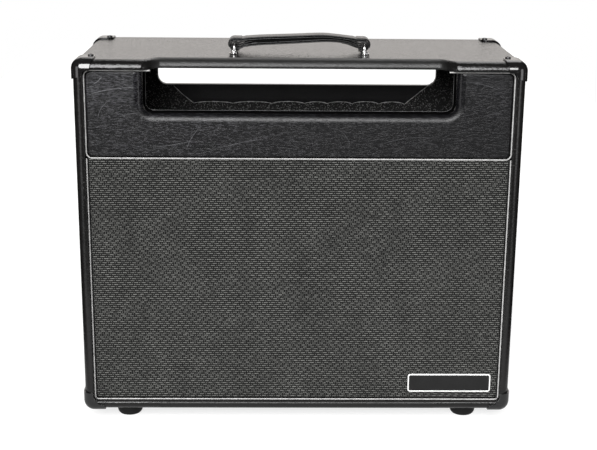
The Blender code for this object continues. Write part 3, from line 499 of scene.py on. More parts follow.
def make_treated():
    """Resin treated cotton of the spider: a plain weave 0.8 mm apart."""
    f = Finish("treated_cloth_finish")
    x, y, z = f.split(f.mm)
    wx = f.math("ABSOLUTE", f.math("SINE", f.math("MULTIPLY", x, math.pi / 0.8)))
    wz = f.math("ABSOLUTE", f.math("SINE", f.math("MULTIPLY", z, math.pi / 0.8)))
    weave = f.math("MULTIPLY", f.math("ADD", wx, wz), 0.5)
    tone = f.total(f.math("MULTIPLY", weave, 0.8), f.math("MULTIPLY", f.noise(10.0, 2.0), 0.6), -0.35)
    f.set(Base_Color=f.mix(f.math("MULTIPLY", tone, 1.0, clamp=True), (0.10, 0.055, 0.020), (0.26, 0.155, 0.07)),
          Roughness=f.remap(weave, 0.0, 1.0, 0.82, 0.62), Normal=f.bump(weave, 0.2))
    return f.mat


TREATED = make_treated()


# ------------------------------------------------------------------ mesh tools
def make(name, verts, faces, mat, body="root", stands_for=(), smooth=38.0, turn_out=True, bevel=None):
    """A piece from points in cabinet millimetres."""
    bm = bmesh.new()
    pts = to_world(verts)
    vs = [bm.verts.new(p) for p in pts]
    for f in faces:
        try:
            bm.faces.new([vs[i] for i in f])
        except ValueError:
            pass
    bmesh.ops.remove_doubles(bm, verts=bm.verts, dist=1e-6)
    if turn_out:
        bmesh.ops.recalc_face_normals(bm, faces=bm.faces)
    me = bpy.data.meshes.new(name)
    bm.to_mesh(me)
    bm.free()
    me.materials.append(mat)
    ob = bpy.data.objects.new(name, me)
    scene.collection.objects.link(ob)
    if smooth is not None:
        me.shade_smooth()
        me.set_sharp_from_angle(angle=math.radians(smooth))
    if bevel:
        mod = ob.modifiers.new("edges", "BEVEL")
        mod.width = bevel[0] * MM
        mod.segments = bevel[1]
        mod.limit_method = "ANGLE"
        mod.angle_limit = math.radians(bevel[2] if len(bevel) > 2 else 40.0)
        mod.use_clamp_overlap = True
        mod.harden_normals = False
    if body:
        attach(ob, body)
    if stands_for:
        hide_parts(*stands_for)
    return ob


def skin(rings, around=True, along=False, caps=True):
    """Points and faces of a skin over equally long rings."""
    n, m = len(rings[0]), len(rings)
    verts = np.concatenate([np.asarray(r, float) for r in rings])
    faces = []
    for i in range(m if along else m - 1):
        a, b = i * n, ((i + 1) % m) * n
        for j in range(n if around else n - 1):
            k = (j + 1) % n
            faces.append((a + j, a + k, b + k, b + j))
    if caps and not along and around:
        faces.append(tuple(range(n - 1, -1, -1)))
        faces.append(tuple(range((m - 1) * n, m * n)))
    return verts, faces


def joined(*parts):
    """Several (points, faces) as one."""
    verts, faces, base = [], [], 0
    for v, f in parts:
        v = np.asarray(v, float)
        verts.append(v)
        faces += [tuple(i + base for i in g) for g in f]
        base += len(v)
    return np.concatenate(verts), faces


def lathe(profile, steps, centre, axis, ribs=None):
    """A closed (radius, height) outline turned about the axis through centre."""
    rings = []
    for i in range(steps):
        t = 2 * math.pi * i / steps
        c, s = math.cos(t), math.sin(t)
        ring = []
        for r, h in profile:
            if axis == "Z":
                ring.append((centre[0] + r * c, centre[1] + r * s, centre[2] + h))
            else:
                ring.append((centre[0] + r * c, centre[1] + h, centre[2] + r * s))
        rings.append(ring)
    return skin(rings, along=True)


def rounded(profile, radius, steps=4):
    """Rounds every corner of a closed outline by up to radius."""
    out = []
    n = len(profile)
    p = [np.array(q, float) for q in profile]
    for i in range(n):
        a, b, c = p[i - 1], p[i], p[(i + 1) % n]
        ab, cb = a - b, c - b
        la, lc = np.linalg.norm(ab), np.linalg.norm(cb)
        if la < 1e-6 or lc < 1e-6 or b[0] < 1e-6:
            out.append(tuple(b))
            continue
        cosine = float(np.dot(ab, cb) / la / lc)
        if cosine < -0.985:
            out.append(tuple(b))
            continue
        r = min(radius, 0.45 * la, 0.45 * lc)
        s, e = b + ab / la * r, b + cb / lc * r
        for k in range(steps + 1):
            t = k / steps
            q = (1 - t) ** 2 * s + 2 * t * (1 - t) * b + t * t * e
            out.append(tuple(q))
    return out


def arc(cx, cz, r, a0, a1, n):
    out = []
    for i in range(n + 1):
        t = math.radians(a0 + (a1 - a0) * i / n)
        out.append((cx + r * math.cos(t), cz + r * math.sin(t), math.cos(t), math.sin(t)))
    return out


def resampled(points, step):
    """Points every step mm, or a little less, along a polyline."""
    p = np.asarray(points, float)
    seg = np.linalg.norm(np.diff(p, axis=0), axis=1)
    s = np.concatenate([[0.0], np.cumsum(seg)])
    n = max(2, int(math.ceil(s[-1] / step)) + 1)
    at = np.linspace(0.0, s[-1], n)
    return np.stack([np.interp(at, s, p[:, k]) for k in range(p.shape[1])], axis=1), at


def smoothstep(t):
    t = min(max(t, 0.0), 1.0)
    return t * t * (3 - 2 * t)


def through(points, x):
    """Smooth height through (x, height) points."""
    for i, ((x0, h0), (x1, h1)) in enumerate(zip(points, points[1:])):
        if x <= x1 or i == len(points) - 2:
            hm = points[i - 1] if i > 0 else (2 * x0 - x1, h0)
            hn = points[i + 2] if i + 2 < len(points) else (2 * x1 - x0, h1)
            m0 = (h1 - hm[1]) / (x1 - hm[0])
            m1 = (hn[1] - h0) / (hn[0] - x0)
            w = x1 - x0
            t = (x - x0) / w
            return ((2 * t ** 3 - 3 * t ** 2 + 1) * h0 + (t ** 3 - 2 * t ** 2 + t) * w * m0
                    + (-2 * t ** 3 + 3 * t ** 2) * h1 + (t ** 3 - t ** 2) * w * m1)
    return points[-1][1]


def swept(path, plane, section, closed=False):
    """Sweeps section(i, s) -> [(out, across)] along a path. plane is the across direction, and out
    is square to it and to the path."""
    p = np.asarray(path, float)
    n = len(p)
    if closed:
        t = np.roll(p, -1, axis=0) - np.roll(p, 1, axis=0)
    else:
        t = np.gradient(p, axis=0)
    t /= np.linalg.norm(t, axis=1)[:, None]
    plane = np.asarray(plane, float)
    out = np.cross(plane, t)
    out /= np.linalg.norm(out, axis=1)[:, None]
    s = np.concatenate([[0.0], np.cumsum(np.linalg.norm(np.diff(p, axis=0), axis=1))])
    rings = []
    for i in range(n):
        sec = np.asarray(section(i, s[i]), float)
        rings.append(p[i] + out[i] * sec[:, :1] + plane * sec[:, 1:])
    return skin(rings, along=closed)


def slab_section(thick, wide, radius, steps=3, centre=0.0):
    """Rounded rectangle, thick across the strip and wide along its width."""
    a, b = thick / 2, wide / 2
    r = min(radius, a * 0.98)
    out = []
    for sx, sy, a0 in ((1, 1, 0), (-1, 1, 90), (-1, -1, 180), (1, -1, 270)):
        for i in range(steps + 1):
            t = math.radians(a0 + 90 * i / steps)
            out.append((sx * (a - r) + r * math.cos(t) + centre, sy * (b - r) + r * math.sin(t)))
    return out


# ------------------------------------------------------------------ camera and light
YAW, PITCH, ROLL, FOCAL = math.radians(-1.059), math.radians(15.780), math.radians(0.525), 1247.7
ahead0 = Vector((-math.sin(YAW), math.cos(YAW), 0.0))
up0 = Vector((0.0, 0.0, 1.0))
ahead = ahead0 * math.cos(PITCH) - up0 * math.sin(PITCH)
right = Vector((math.cos(YAW), math.sin(YAW), 0.0))
above = ahead0 * math.sin(PITCH) + up0 * math.cos(PITCH)
cam_x = right * math.cos(ROLL) + above * math.sin(ROLL)
cam_y = -right * math.sin(ROLL) + above * math.cos(ROLL)
cam_data = bpy.data.cameras.new("photo_camera")
cam_data.sensor_width = 36.0
cam_data.sensor_fit = "HORIZONTAL"
cam_data.lens = 36.0 * FOCAL / 597.0
cam_data.clip_start, cam_data.clip_end = 0.05, 200.0
camera = bpy.data.objects.new("photo_camera", cam_data)
scene.collection.objects.link(camera)
placed = Matrix((cam_x, cam_y, -ahead)).transposed().to_4x4()
placed.translation = Vector((-0.0316, -1.8154, 0.7795))
camera.matrix_world = placed
scene.camera = camera
scene.view_settings.view_transform = "Standard"
scene.view_settings.look = "None"


def lamp(name, kind, energy, direction, spread, colour=(1.0, 1.0, 1.0)):
    """A distant soft lamp that shines from the given (azimuth, elevation); azimuth 0 is in front."""
    data = bpy.data.lights.new(name, kind)
    data.energy = energy
    data.angle = math.radians(spread)
    data.color = colour
    ob = bpy.data.objects.new(name, data)
    scene.collection.objects.link(ob)
    az, el = math.radians(direction[0]), math.radians(direction[1])
    toward = Vector((math.sin(az) * math.cos(el), -math.cos(az) * math.cos(el), math.sin(el)))
    ob.rotation_mode = "QUATERNION"
    ob.rotation_quaternion = toward.to_track_quat("Z", "Y")
    ob.location = toward * 4.0
    return ob


lamp("key_softbox", "SUN", 5.9, (-10.0, 30.0), 42.0)


def softbox(name, watts, centre, aim, wide, tall):
    """A standing softbox at the side of the set."""
    data = bpy.data.lights.new(name, "AREA")
    data.energy = watts
    data.shape = "RECTANGLE"
    data.size, data.size_y = wide, tall
    ob = bpy.data.objects.new(name, data)
    scene.collection.objects.link(ob)
    ob.location = centre
    ob.rotation_mode = "QUATERNION"
    ob.rotation_quaternion = (Vector(centre) - Vector(aim)).to_track_quat("Z", "Y")
    ob.visible_camera = False
    return ob


softbox("side_box_left", 3.5, (-1.30, -0.98, 0.52), (0.0, -0.12, 0.52), 0.60, 0.98)
softbox("side_box_right", 4.2, (1.30, -0.98, 0.52), (0.0, -0.12, 0.52), 0.60, 0.98)
lamp("rear_fill", "SUN", 0.7, (165.0, 52.0), 36.0)

world = bpy.data.worlds.new("studio")
scene.world = world
world.use_nodes = True
wt = world.node_tree
wt.nodes.clear()
w_out = wt.nodes.new("ShaderNodeOutputWorld")
w_bg = wt.nodes.new("ShaderNodeBackground")
w_coord = wt.nodes.new("ShaderNodeTexCoord")
w_split = wt.nodes.new("ShaderNodeSeparateXYZ")
wt.links.new(w_coord.outputs["Generated"], w_split.inputs[0])


def w_range(socket, lo, hi, v0, v1):
    n = wt.nodes.new("ShaderNodeMapRange")
    n.interpolation_type = "SMOOTHSTEP"
    for k, v in (("From Min", lo), ("From Max", hi), ("To Min", v0), ("To Max", v1)):
        n.inputs[k].default_value = v
    wt.links.new(socket, n.inputs["Value"])
    return n.outputs[0]


w_wall = w_range(w_split.outputs[1], -0.05, 0.75, 0.0, 1.04)      # the lit wall behind
w_high = w_range(w_split.outputs[2], 0.45, 0.85, 1.0, 0.12)       # it ends below the dim ceiling
w_abs = wt.nodes.new("ShaderNodeMath")
w_abs.operation = "ABSOLUTE"
wt.links.new(w_split.outputs[0], w_abs.inputs[0])
w_side = w_range(w_abs.outputs[0], 0.30, 0.62, 1.0, 0.0)         # and it is no wider than the set
w_foot = w_range(w_split.outputs[2], 0.04, 0.20, 0.55, 1.06)       # a little dimmer where it meets the floor
w_low = wt.nodes.new("ShaderNodeMath")
w_low.operation = "MULTIPLY"
wt.links.new(w_high, w_low.inputs[0])
wt.links.new(w_foot, w_low.inputs[1])
w_area = wt.nodes.new("ShaderNodeMath")
w_area.operation = "MULTIPLY"
wt.links.new(w_low.outputs[0], w_area.inputs[0])
wt.links.new(w_side, w_area.inputs[1])
w_mul = wt.nodes.new("ShaderNodeMath")
w_mul.operation = "MULTIPLY_ADD"
wt.links.new(w_wall, w_mul.inputs[0])
wt.links.new(w_area.outputs[0], w_mul.inputs[1])
wt.links.new(w_range(w_split.outputs[1], 0.05, 0.50, 0.07, 0.006), w_mul.inputs[2])
w_path = wt.nodes.new("ShaderNodeLightPath")
w_mix = wt.nodes.new("ShaderNodeMix")
w_mix.data_type = "FLOAT"
wt.links.new(w_path.outputs["Is Camera Ray"], w_mix.inputs[0])
wt.links.new(w_mul.outputs[0], w_mix.inputs[2])
w_mix.inputs[3].default_value = 1.0
w_tint = wt.nodes.new("ShaderNodeMix")
w_tint.data_type = "RGBA"
wt.links.new(w_path.outputs["Is Camera Ray"], w_tint.inputs[0])
w_tint.inputs[6].default_value = (1.13, 1.08, 1.04, 1.0)
w_tint.inputs[7].default_value = (1.0, 1.0, 1.0, 1.0)
wt.links.new(w_tint.outputs[2], w_bg.inputs["Color"])
wt.links.new(w_mix.outputs[0], w_bg.inputs["Strength"])
wt.links.new(w_bg.outputs[0], w_out.inputs[0])

floor_mat = bpy.data.materials.new("studio_floor")
floor_mat.use_nodes = True
ft = floor_mat.node_tree
fb = ft.nodes["Principled BSDF"]


def f_node(kind, op=None, **values):
    n = ft.nodes.new(kind)
    if op:
        n.operation = op
    for k, v in values.items():
        n.inputs[int(k[1:])].default_value = v
    return n


# the floor's colour and glow are painted: bright under and in front of the cabinet, with painted shade at the sides
# where black flags would stand and a painted shadow of the cabinet just in front of it; camera rays always see it fully
# bright
f_coord = f_node("ShaderNodeTexCoord")
f_split = f_node("ShaderNodeSeparateXYZ")
ft.links.new(f_coord.outputs["Object"], f_split.inputs[0])
f_abs = f_node("ShaderNodeMath", "ABSOLUTE")
ft.links.new(f_split.outputs[0], f_abs.inputs[0])
f_side = f_node("ShaderNodeMapRange", _1=0.42, _2=0.66, _3=0.0, _4=0.768)
f_side.interpolation_type = "SMOOTHSTEP"
ft.links.new(f_abs.outputs[0], f_side.inputs[0])
f_back = f_node("ShaderNodeMapRange", _1=-0.42, _2=-0.18, _3=0.0, _4=1.0)
f_back.interpolation_type = "SMOOTHSTEP"
ft.links.new(f_split.outputs[1], f_back.inputs[0])
f_painted_side_shade = f_node("ShaderNodeMath", "MULTIPLY")
ft.links.new(f_side.outputs[0], f_painted_side_shade.inputs[0])
ft.links.new(f_back.outputs[0], f_painted_side_shade.inputs[1])
f_open = f_node("ShaderNodeMath", "SUBTRACT", _0=0.78)
ft.links.new(f_painted_side_shade.outputs[0], f_open.inputs[1])
f_painted_shadow = f_node("ShaderNodeMapRange", _1=-0.31, _2=-0.19, _3=1.0, _4=0.64)      # the cabinet's own soft shade
f_painted_shadow.interpolation_type = "SMOOTHSTEP"
ft.links.new(f_split.outputs[1], f_painted_shadow.inputs[0])
f_lit = f_node("ShaderNodeMath", "MULTIPLY")
ft.links.new(f_open.outputs[0], f_lit.inputs[0])
ft.links.new(f_painted_shadow.outputs[0], f_lit.inputs[1])
f_path = f_node("ShaderNodeLightPath")
f_seen = f_node("ShaderNodeMath", "MAXIMUM")
ft.links.new(f_lit.outputs[0], f_seen.inputs[0])
ft.links.new(f_path.outputs["Is Camera Ray"], f_seen.inputs[1])
f_base = f_node("ShaderNodeMath", "MULTIPLY", _1=0.36)
ft.links.new(f_seen.outputs[0], f_base.inputs[0])
f_glow = f_node("ShaderNodeMath", "MULTIPLY", _1=0.70)
ft.links.new(f_seen.outputs[0], f_glow.inputs[0])
f_grey = f_node("ShaderNodeCombineXYZ")
for socket in f_grey.inputs:
    ft.links.new(f_base.outputs[0], socket)
ft.links.new(f_grey.outputs[0], fb.inputs["Base Color"])
ft.links.new(f_glow.outputs[0], fb.inputs["Emission Strength"])
fb.inputs["Roughness"].default_value = 0.9
fb.inputs["Specular IOR Level"].default_value = 0.1
fb.inputs["Emission Color"].default_value = (1.0, 1.0, 1.0, 1.0)
me = bpy.data.meshes.new("studio_floor")
me.from_pydata([(-1.1, -0.7, 0), (1.1, -0.7, 0), (1.1, 4, 0), (-1.1, 4, 0)], [], [(0, 1, 2, 3)])
me.materials.append(floor_mat)
floor = bpy.data.objects.new("studio_floor", me)
scene.collection.objects.link(floor)

# ------------------------------------------------------------------ the box's covering


def recess(x):
    return RECESS * smoothstep((RECESS_X1 - abs(x)) / (RECESS_X1 - RECESS_X0))


SEAM_X = 211.5


def perimeter():
    """Stations round the box: (kind, ...), corners in fine arcs and the top's set-back curve."""
    st = []
    steps = 12
    for sx, sz, a0 in ((-1, 1, 180), (1, 1, 90), (1, -1, 0), (-1, -1, -90)):
        for i in range(steps + 1):
            st.append(("corner", sx, sz, math.radians(a0 - 90 * i / steps), 0.0))
        if (sx, sz) == (-1, 1):
            curve = [(RECESS_X1 - (RECESS_X1 - RECESS_X0) * i / 22, 0.0) for i in range(23)]
            # the covering is cut and butted where the set-back starts: a narrow groove
            curve = [c for c in curve if abs(c[0] - SEAM_X) > 0.5]
            curve += [(SEAM_X + 0.45, 0.0), (SEAM_X + 0.15, 0.38), (SEAM_X - 0.15, 0.38), (SEAM_X - 0.45, 0.0)]
            curve.sort(key=lambda c: -c[0])
            st += [("top", -x, 0, 0.0, g) for x, g in curve]
            st += [("top", x, 0, 0.0, 0.0) for x in (-140.0, -95.0, -48.0, 0.0, 48.0, 95.0, 140.0)]
            st += [("top", x, 0, 0.0, g) for x, g in reversed(curve)]
    return st


def on_station(s, a):
    if s[0] == "top":
        return s[1], HEIGHT + a
    _, sx, sz, t, _ = s
    r = max(ROUND + a, 0.5)
    cx = sx * (WIDTH / 2 + a - r)
    cz = HEIGHT / 2 + sz * (HEIGHT / 2 + a - r)
    return cx + r * math.cos(t), cz + r * math.sin(t)


def edge_arc(radius, setback, front, n=10):
    out = []
    for i in range(n + 1):
        t = math.pi / 2 * i / n
        y = ROUND - radius * math.cos(t)
        out.append((-ROUND + radius * math.sin(t), setback + y if front else DEPTH - y))
    return out


rings = []
for s in perimeter():
    f = recess(s[1]) if s[0] == "top" else 0.0
    r0, r1 = ROUND - s[4], ROUND - SKIN
    # the covering's inner edge falls away towards the piping
    lip = [(-10.3 - 3.0 * math.cos(t), f + s[4] + 1.25 - math.sin(t)) for t in (0.0, 0.2, 0.42, 0.68, 0.95, 1.22, 1.48)]
    outer = lip + edge_arc(r0, f, True)[2:] + [(0.0, f + ROUND + 1.5), (0.0, 60.0), (0.0, 130.0), (0.0, 200.0)]
    outer += edge_arc(ROUND, f, False)[::-1] + [(-WALL, DEPTH)]
    inner = [(-WALL, DEPTH - SKIN)] + edge_arc(r1, f, False) + [(-SKIN, 130.0)] + edge_arc(r1, f, True)[::-1] + [(-WALL, f + SKIN + GAP)]
    ring = []
    for a, y in outer + inner:
        x, z = on_station(s, a)
        ring.append((x, y, z))
    rings.append(ring)
v, f = skin(rings, along=True)
make("box_covering", v, f, BOX_VINYL, stands_for=["vinyl_covering"], smooth=40)

for node, mat in (("top_board", BOARD_X), ("bottom_board", BOARD_X), ("left_side_board", BOARD_Z), ("right_side_board", BOARD_Z),
                  ("baffle_board", BOARD_X), ("grille_frame", BOARD_X),
                  ("front_cleat_left", BOARD_Z), ("front_cleat_right", BOARD_Z), ("rear_cleat_left", BOARD_Z),
                  ("rear_cleat_right", BOARD_Z), ("chassis_rail_left", BOARD_Y), ("chassis_rail_right", BOARD_Y),
                  ("speaker_front_plate", ZINC), ("foot_screw_front_left", ZINC), ("foot_screw_front_right", ZINC),
                  ("foot_screw_rear_left", ZINC), ("foot_screw_rear_right", ZINC)):
    me = cad[node].data
    if len(me.materials):
        me.materials[0] = mat
    else:
        me.materials.append(mat)


# ------------------------------------------------------------------ panels with a window notch
def notched(half, low, top, sill, r_low, r_high, e_notch, e_outer, notch_half=WINDOW_HALF, radius=WINDOW_R, n=14, m=8):
    """Outline set in by e_outer at the edges and by e_notch round the window: (x, z)."""
    half, low, top = half - e_outer, low + e_outer, top - e_outer
    a, b = max(r_low - e_outer, 0.05), max(r_high - e_outer, 0.05)
    notch_half, sill, radius = notch_half + e_notch, sill - e_notch, radius + e_notch
    pts = arc(-half + a, low + a, a, 180, 270, m) + arc(half - a, low + a, a, 270, 360, m)
    pts += arc(half - b, top - b, b, 0, 90, m) + [(notch_half, top), (notch_half, top - 2.0), (notch_half, top - 4.0)]
    pts += arc(notch_half - radius, sill + radius, radius, 0, -90, n)
    pts += arc(-notch_half + radius, sill + radius, radius, -90, -180, n)
    pts += [(-notch_half, top - 4.0), (-notch_half, top - 2.0), (-notch_half, top)] + arc(-half + b, top - b, b, 90, 180, m)
    return [(q[0], q[1]) for q in pts]


def panel(shape, levels):
    rings = []
    for y, e_notch, e_outer in levels:
        rings.append([(x, y, z) for x, z in notched(*shape, e_notch, e_outer)])
    return skin(rings)


levels = [(PANEL_Y0, EDGE_ROUND + 5.0, 5.0), (PANEL_Y0, EDGE_ROUND + 1.0, 2.6)]
for i in range(13):
    t = math.pi / 2 * i / 12
    dy = EDGE_ROUND * (1 - math.cos(t))
    e_out = 0.55 + (1.0 * (1 - math.sin(min(1.0, dy / 1.0) * math.pi / 2)) if dy < 1.0 else 0.0)
    levels.append((PANEL_Y0 + dy, EDGE_ROUND * (1 - math.sin(t)), e_out))
levels += [(PANEL_Y1, 0.0, 0.55), (PANEL_Y1, 3.0, 3.5)]
v, f = panel((PANEL_HALF, PIPING_MID + PIPING_R + GAP, PIPING_TOP - PIPING_R - GAP, WINDOW_SILL, 8.0, 8.0), levels)
front = make("front_panel_covered", v, f, PANEL_VINYL, stands_for=["front_panel"], smooth=40)
# the last of the turn into the window is the dull edge of the lining
front.data.materials.append(LINING)
for p in front.data.polygons:
    c = p.center / MM
    if c.y + DEPTH / 2 > 17.2 and abs(c.x) < WINDOW_HALF + 2.0 and c.z - FLOOR > WINDOW_SILL - 2.0 and p.normal.y < 0.5 and p.normal.z > 0.5:
        p.material_index = 1

# vinyl carried through the window over the baffle's edge, and at its back a pale bead: a painted highlight along the
# lining's rear edge
half_path = [(-WINDOW_HALF, INNER_TOP - 0.6)]
half_path += [(x, z) for x, z, _, _ in arc(-WINDOW_HALF + WINDOW_R, WINDOW_SILL + WINDOW_R, WINDOW_R, 180, 270, 14)]
half_path += [(x, z) for x, z, _, _ in arc(WINDOW_HALF - WINDOW_R, WINDOW_SILL + WINDOW_R, WINDOW_R, 270, 360, 14)]
half_path += [(WINDOW_HALF, INNER_TOP - 0.6)]
path, _ = resampled(half_path, 3.0)
path3 = np.stack([path[:, 0], np.zeros(len(path)), path[:, 1]], axis=1)
# it stands off the board a little more towards the back of the upright sides, where it is bunched
bunch = np.array([smoothstep((z - WINDOW_SILL - 4.0) / 14.0) * (1.7 if x < 0 else 0.9) for x, z in path])


def lining(i, s):
    b = bunch[i]
    return [(-a, y) for a, y in ((-0.25, 22.4), (0.42, 22.4), (0.42 + b, 37.4), (0.30 + b, 37.95), (b, 38.1), (-0.25, 38.1))]


v, f = swept(path3, (0, 1, 0), lining)
make("window_lining", v, f, LINING, smooth=40)
path, _ = resampled(half_path, 1.6)
wob = np.random.default_rng(5)
jit = np.convolve(wob.normal(0, 0.32, len(path) + 20), np.ones(9) / 9, "same")[10:-10]
path3 = np.stack([path[:, 0], 38.35 + jit * 0.6, path[:, 1]], axis=1)
upright = np.array([smoothstep((z - WINDOW_SILL - 4.0) / 14.0) for x, z in path])
bunch = upright * np.where(path[:, 0] < 0, 1.7, 0.9)
bead_r = 0.40 + 0.22 * upright + 0.07 * np.sin(np.arange(len(path)) * 0.61) + 0.04 * np.sin(np.arange(len(path)) * 1.7)
v, f = swept(path3, (0, 1, 0), lambda i, s: [(bead_r[i] * math.cos(2 * math.pi * k / 8) - 0.2 - bunch[i], bead_r[i] * math.sin(2 * math.pi * k / 8)) for k in range(8)])
make("window_lining_edge_highlight", v, f, EDGE_HIGHLIGHT, smooth=60)


# ------------------------------------------------------------------ piping
def cord_section(radius, pitch, sides=12, strands=2, deep=0.24):
    def section(i, s):
        turn = 2 * math.pi * s / pitch
        out = []
        for k in range(sides):
            a = 2 * math.pi * k / sides
            r = radius * (1 - deep + deep * abs(math.cos((a - turn / 1.0) * strands / 2)) ** 0.8)
            out.append((r * math.cos(a), r * math.sin(a)))
        return out
    return section


def piping(name, path, node):
    p, _ = resampled(path, 0.42)
    p3 = np.stack([p[:, 0], np.full(len(p), PIPING_Y), p[:, 1]], axis=1)
    v, f = swept(p3, (0, 1, 0), cord_section(PIPING_R - 0.12, 3.7, deep=0.36))
    return make(name, v, f, PIPING, stands_for=[node], smooth=70)


r = 8.0
path = [(-STUB_X, PIPING_TOP)]
path += [(x, z) for x, z, _, _ in arc(-PIPING_X + r, PIPING_TOP - r, r, 90, 180, 16)]
path += [(x, z) for x, z, _, _ in arc(-PIPING_X + r, PIPING_MID + r, r, 180, 270, 16)]
path += [(x, z) for x, z, _, _ in arc(PIPING_X - r, PIPING_MID + r, r, 270, 360, 16)]
path += [(x, z) for x, z, _, _ in arc(PIPING_X - r, PIPING_TOP - r, r, 0, 90, 16)]
path += [(STUB_X, PIPING_TOP)]
piping("panel_cord", path, "front_panel_piping")
r = 5.0
path = [(-PIPING_X, PIPING_MID - 0.6)]
path += [(x, z) for x, z, _, _ in arc(-PIPING_X + r, PIPING_LOW + r, r, 180, 270, 16)]
path += [(x, z) for x, z, _, _ in arc(PIPING_X - r, PIPING_LOW + r, r, 270, 360, 16)]
path += [(PIPING_X, PIPING_MID - 0.6)]
piping("grille_cord", path, "grille_piping")

# ------------------------------------------------------------------ grille cloth, stretched round its frame
g_half, g_low, g_top = PANEL_HALF, PIPING_LOW + PIPING_R + GAP + 0.1, PIPING_MID - PIPING_R - GAP - 0.1


def framed(half, low, top, r_low, r_high, n=8):
    """A rectangle with rounded corners: (x, z)."""
    pts = arc(half - r_high, top - r_high, r_high, 0, 90, n) + arc(-half + r_high, top - r_high, r_high, 90, 180, n)
    pts += arc(-half + r_low, low + r_low, r_low, 180, 270, n) + arc(half - r_low, low + r_low, r_low, 270, 360, n)
    return [(q[0], q[1]) for q in pts]


def level(y, e):
    return [(x, y, z) for x, z in framed(g_half - e, g_low + e, g_top - e, max(5.0 - e, 0.05), max(1.2 - e, 0.05))]


rings = [level(8.45, 5.0), level(8.45, 2.4)]
for i in range(7):
    t = math.pi / 2 * i / 6
    rings.append(level(8.45 + 1.1 * (1 - math.cos(t)), 1.1 * (1 - math.sin(t))))
rings += [level(15.0, 0.0), level(21.9, 0.0), level(21.9, 0.55), level(15.0, 0.55)]
for i in range(5):
    t = math.pi / 2 * (4 - i) / 4
    rings.append(level(8.45 + 1.1 - 0.55 * math.cos(t), 1.1 - 0.55 * math.sin(t)))
rings += [level(9.0, 2.4), level(9.0, 5.0)]
v, f = skin(rings)
cloth = make("grille_cloth_stretched", v, f, WEAVE, stands_for=["grille_cloth"], smooth=40)

# ------------------------------------------------------------------ badge plate: bare black with a raised pale border
b_x0, b_x1, b_z0, b_z1 = 161.5, 283.0, 27.5, 55.5


def plate_outline(e, r=4.0, n=8):
    pts = []
    for cx, cz, a0 in ((b_x1 - r, b_z1 - r, 0), (b_x0 + r, b_z1 - r, 90), (b_x0 + r, b_z0 + r, 180), (b_x1 - r, b_z0 + r, 270)):
        pts += [(x - nx * e, z - nz * e) for x, z, nx, nz in arc(cx, cz, r, a0, a0 + 90, n)]
    return pts


def plate_ring(y, e):
    return [(x, y, z) for x, z in plate_outline(e)]


v, f = skin([plate_ring(6.15, 3.2), plate_ring(6.15, 0.9), plate_ring(6.35, 0.5), plate_ring(6.8, 0.35), plate_ring(8.1, 0.35), plate_ring(8.1, 2.0)])
make("badge_field", v, f, BADGE_BLACK, stands_for=["badge_plate"], smooth=35)
rings = [plate_ring(y, e) for y, e in ((6.3, 2.05), (5.9, 1.95), (5.72, 1.6), (5.7, 1.15), (5.75, 0.7), (5.95, 0.25), (6.3, 0.02), (7.2, 0.0), (7.2, 0.3), (6.5, 1.9))]
v, f = skin(rings, along=True)
make("badge_border_line", v, f, BADGE_RIM, smooth=50)


# ------------------------------------------------------------------ corner protectors
def tan_lines(n):
    return [ROUND * (1 - math.tan(math.radians(45.0 * (1 - i / n)))) for i in range(n + 1)]


R6 = tan_lines(7)
U_MAX, V_MAX, W_MAX = 29.0, 38.0, 27.0
LO, HI = 0.55, 2.45


def tapered(a, b, amax, bmax, r):
    """Rounds the free corner of a flap with radius r."""
    da, db = a - (amax - r), b - (bmax - r)
    if da > 0 and db > 0:
        m, l = max(da, db), math.hypot(da, db)
        return amax - r + da * m / l, bmax - r + db * m / l
    return a, b


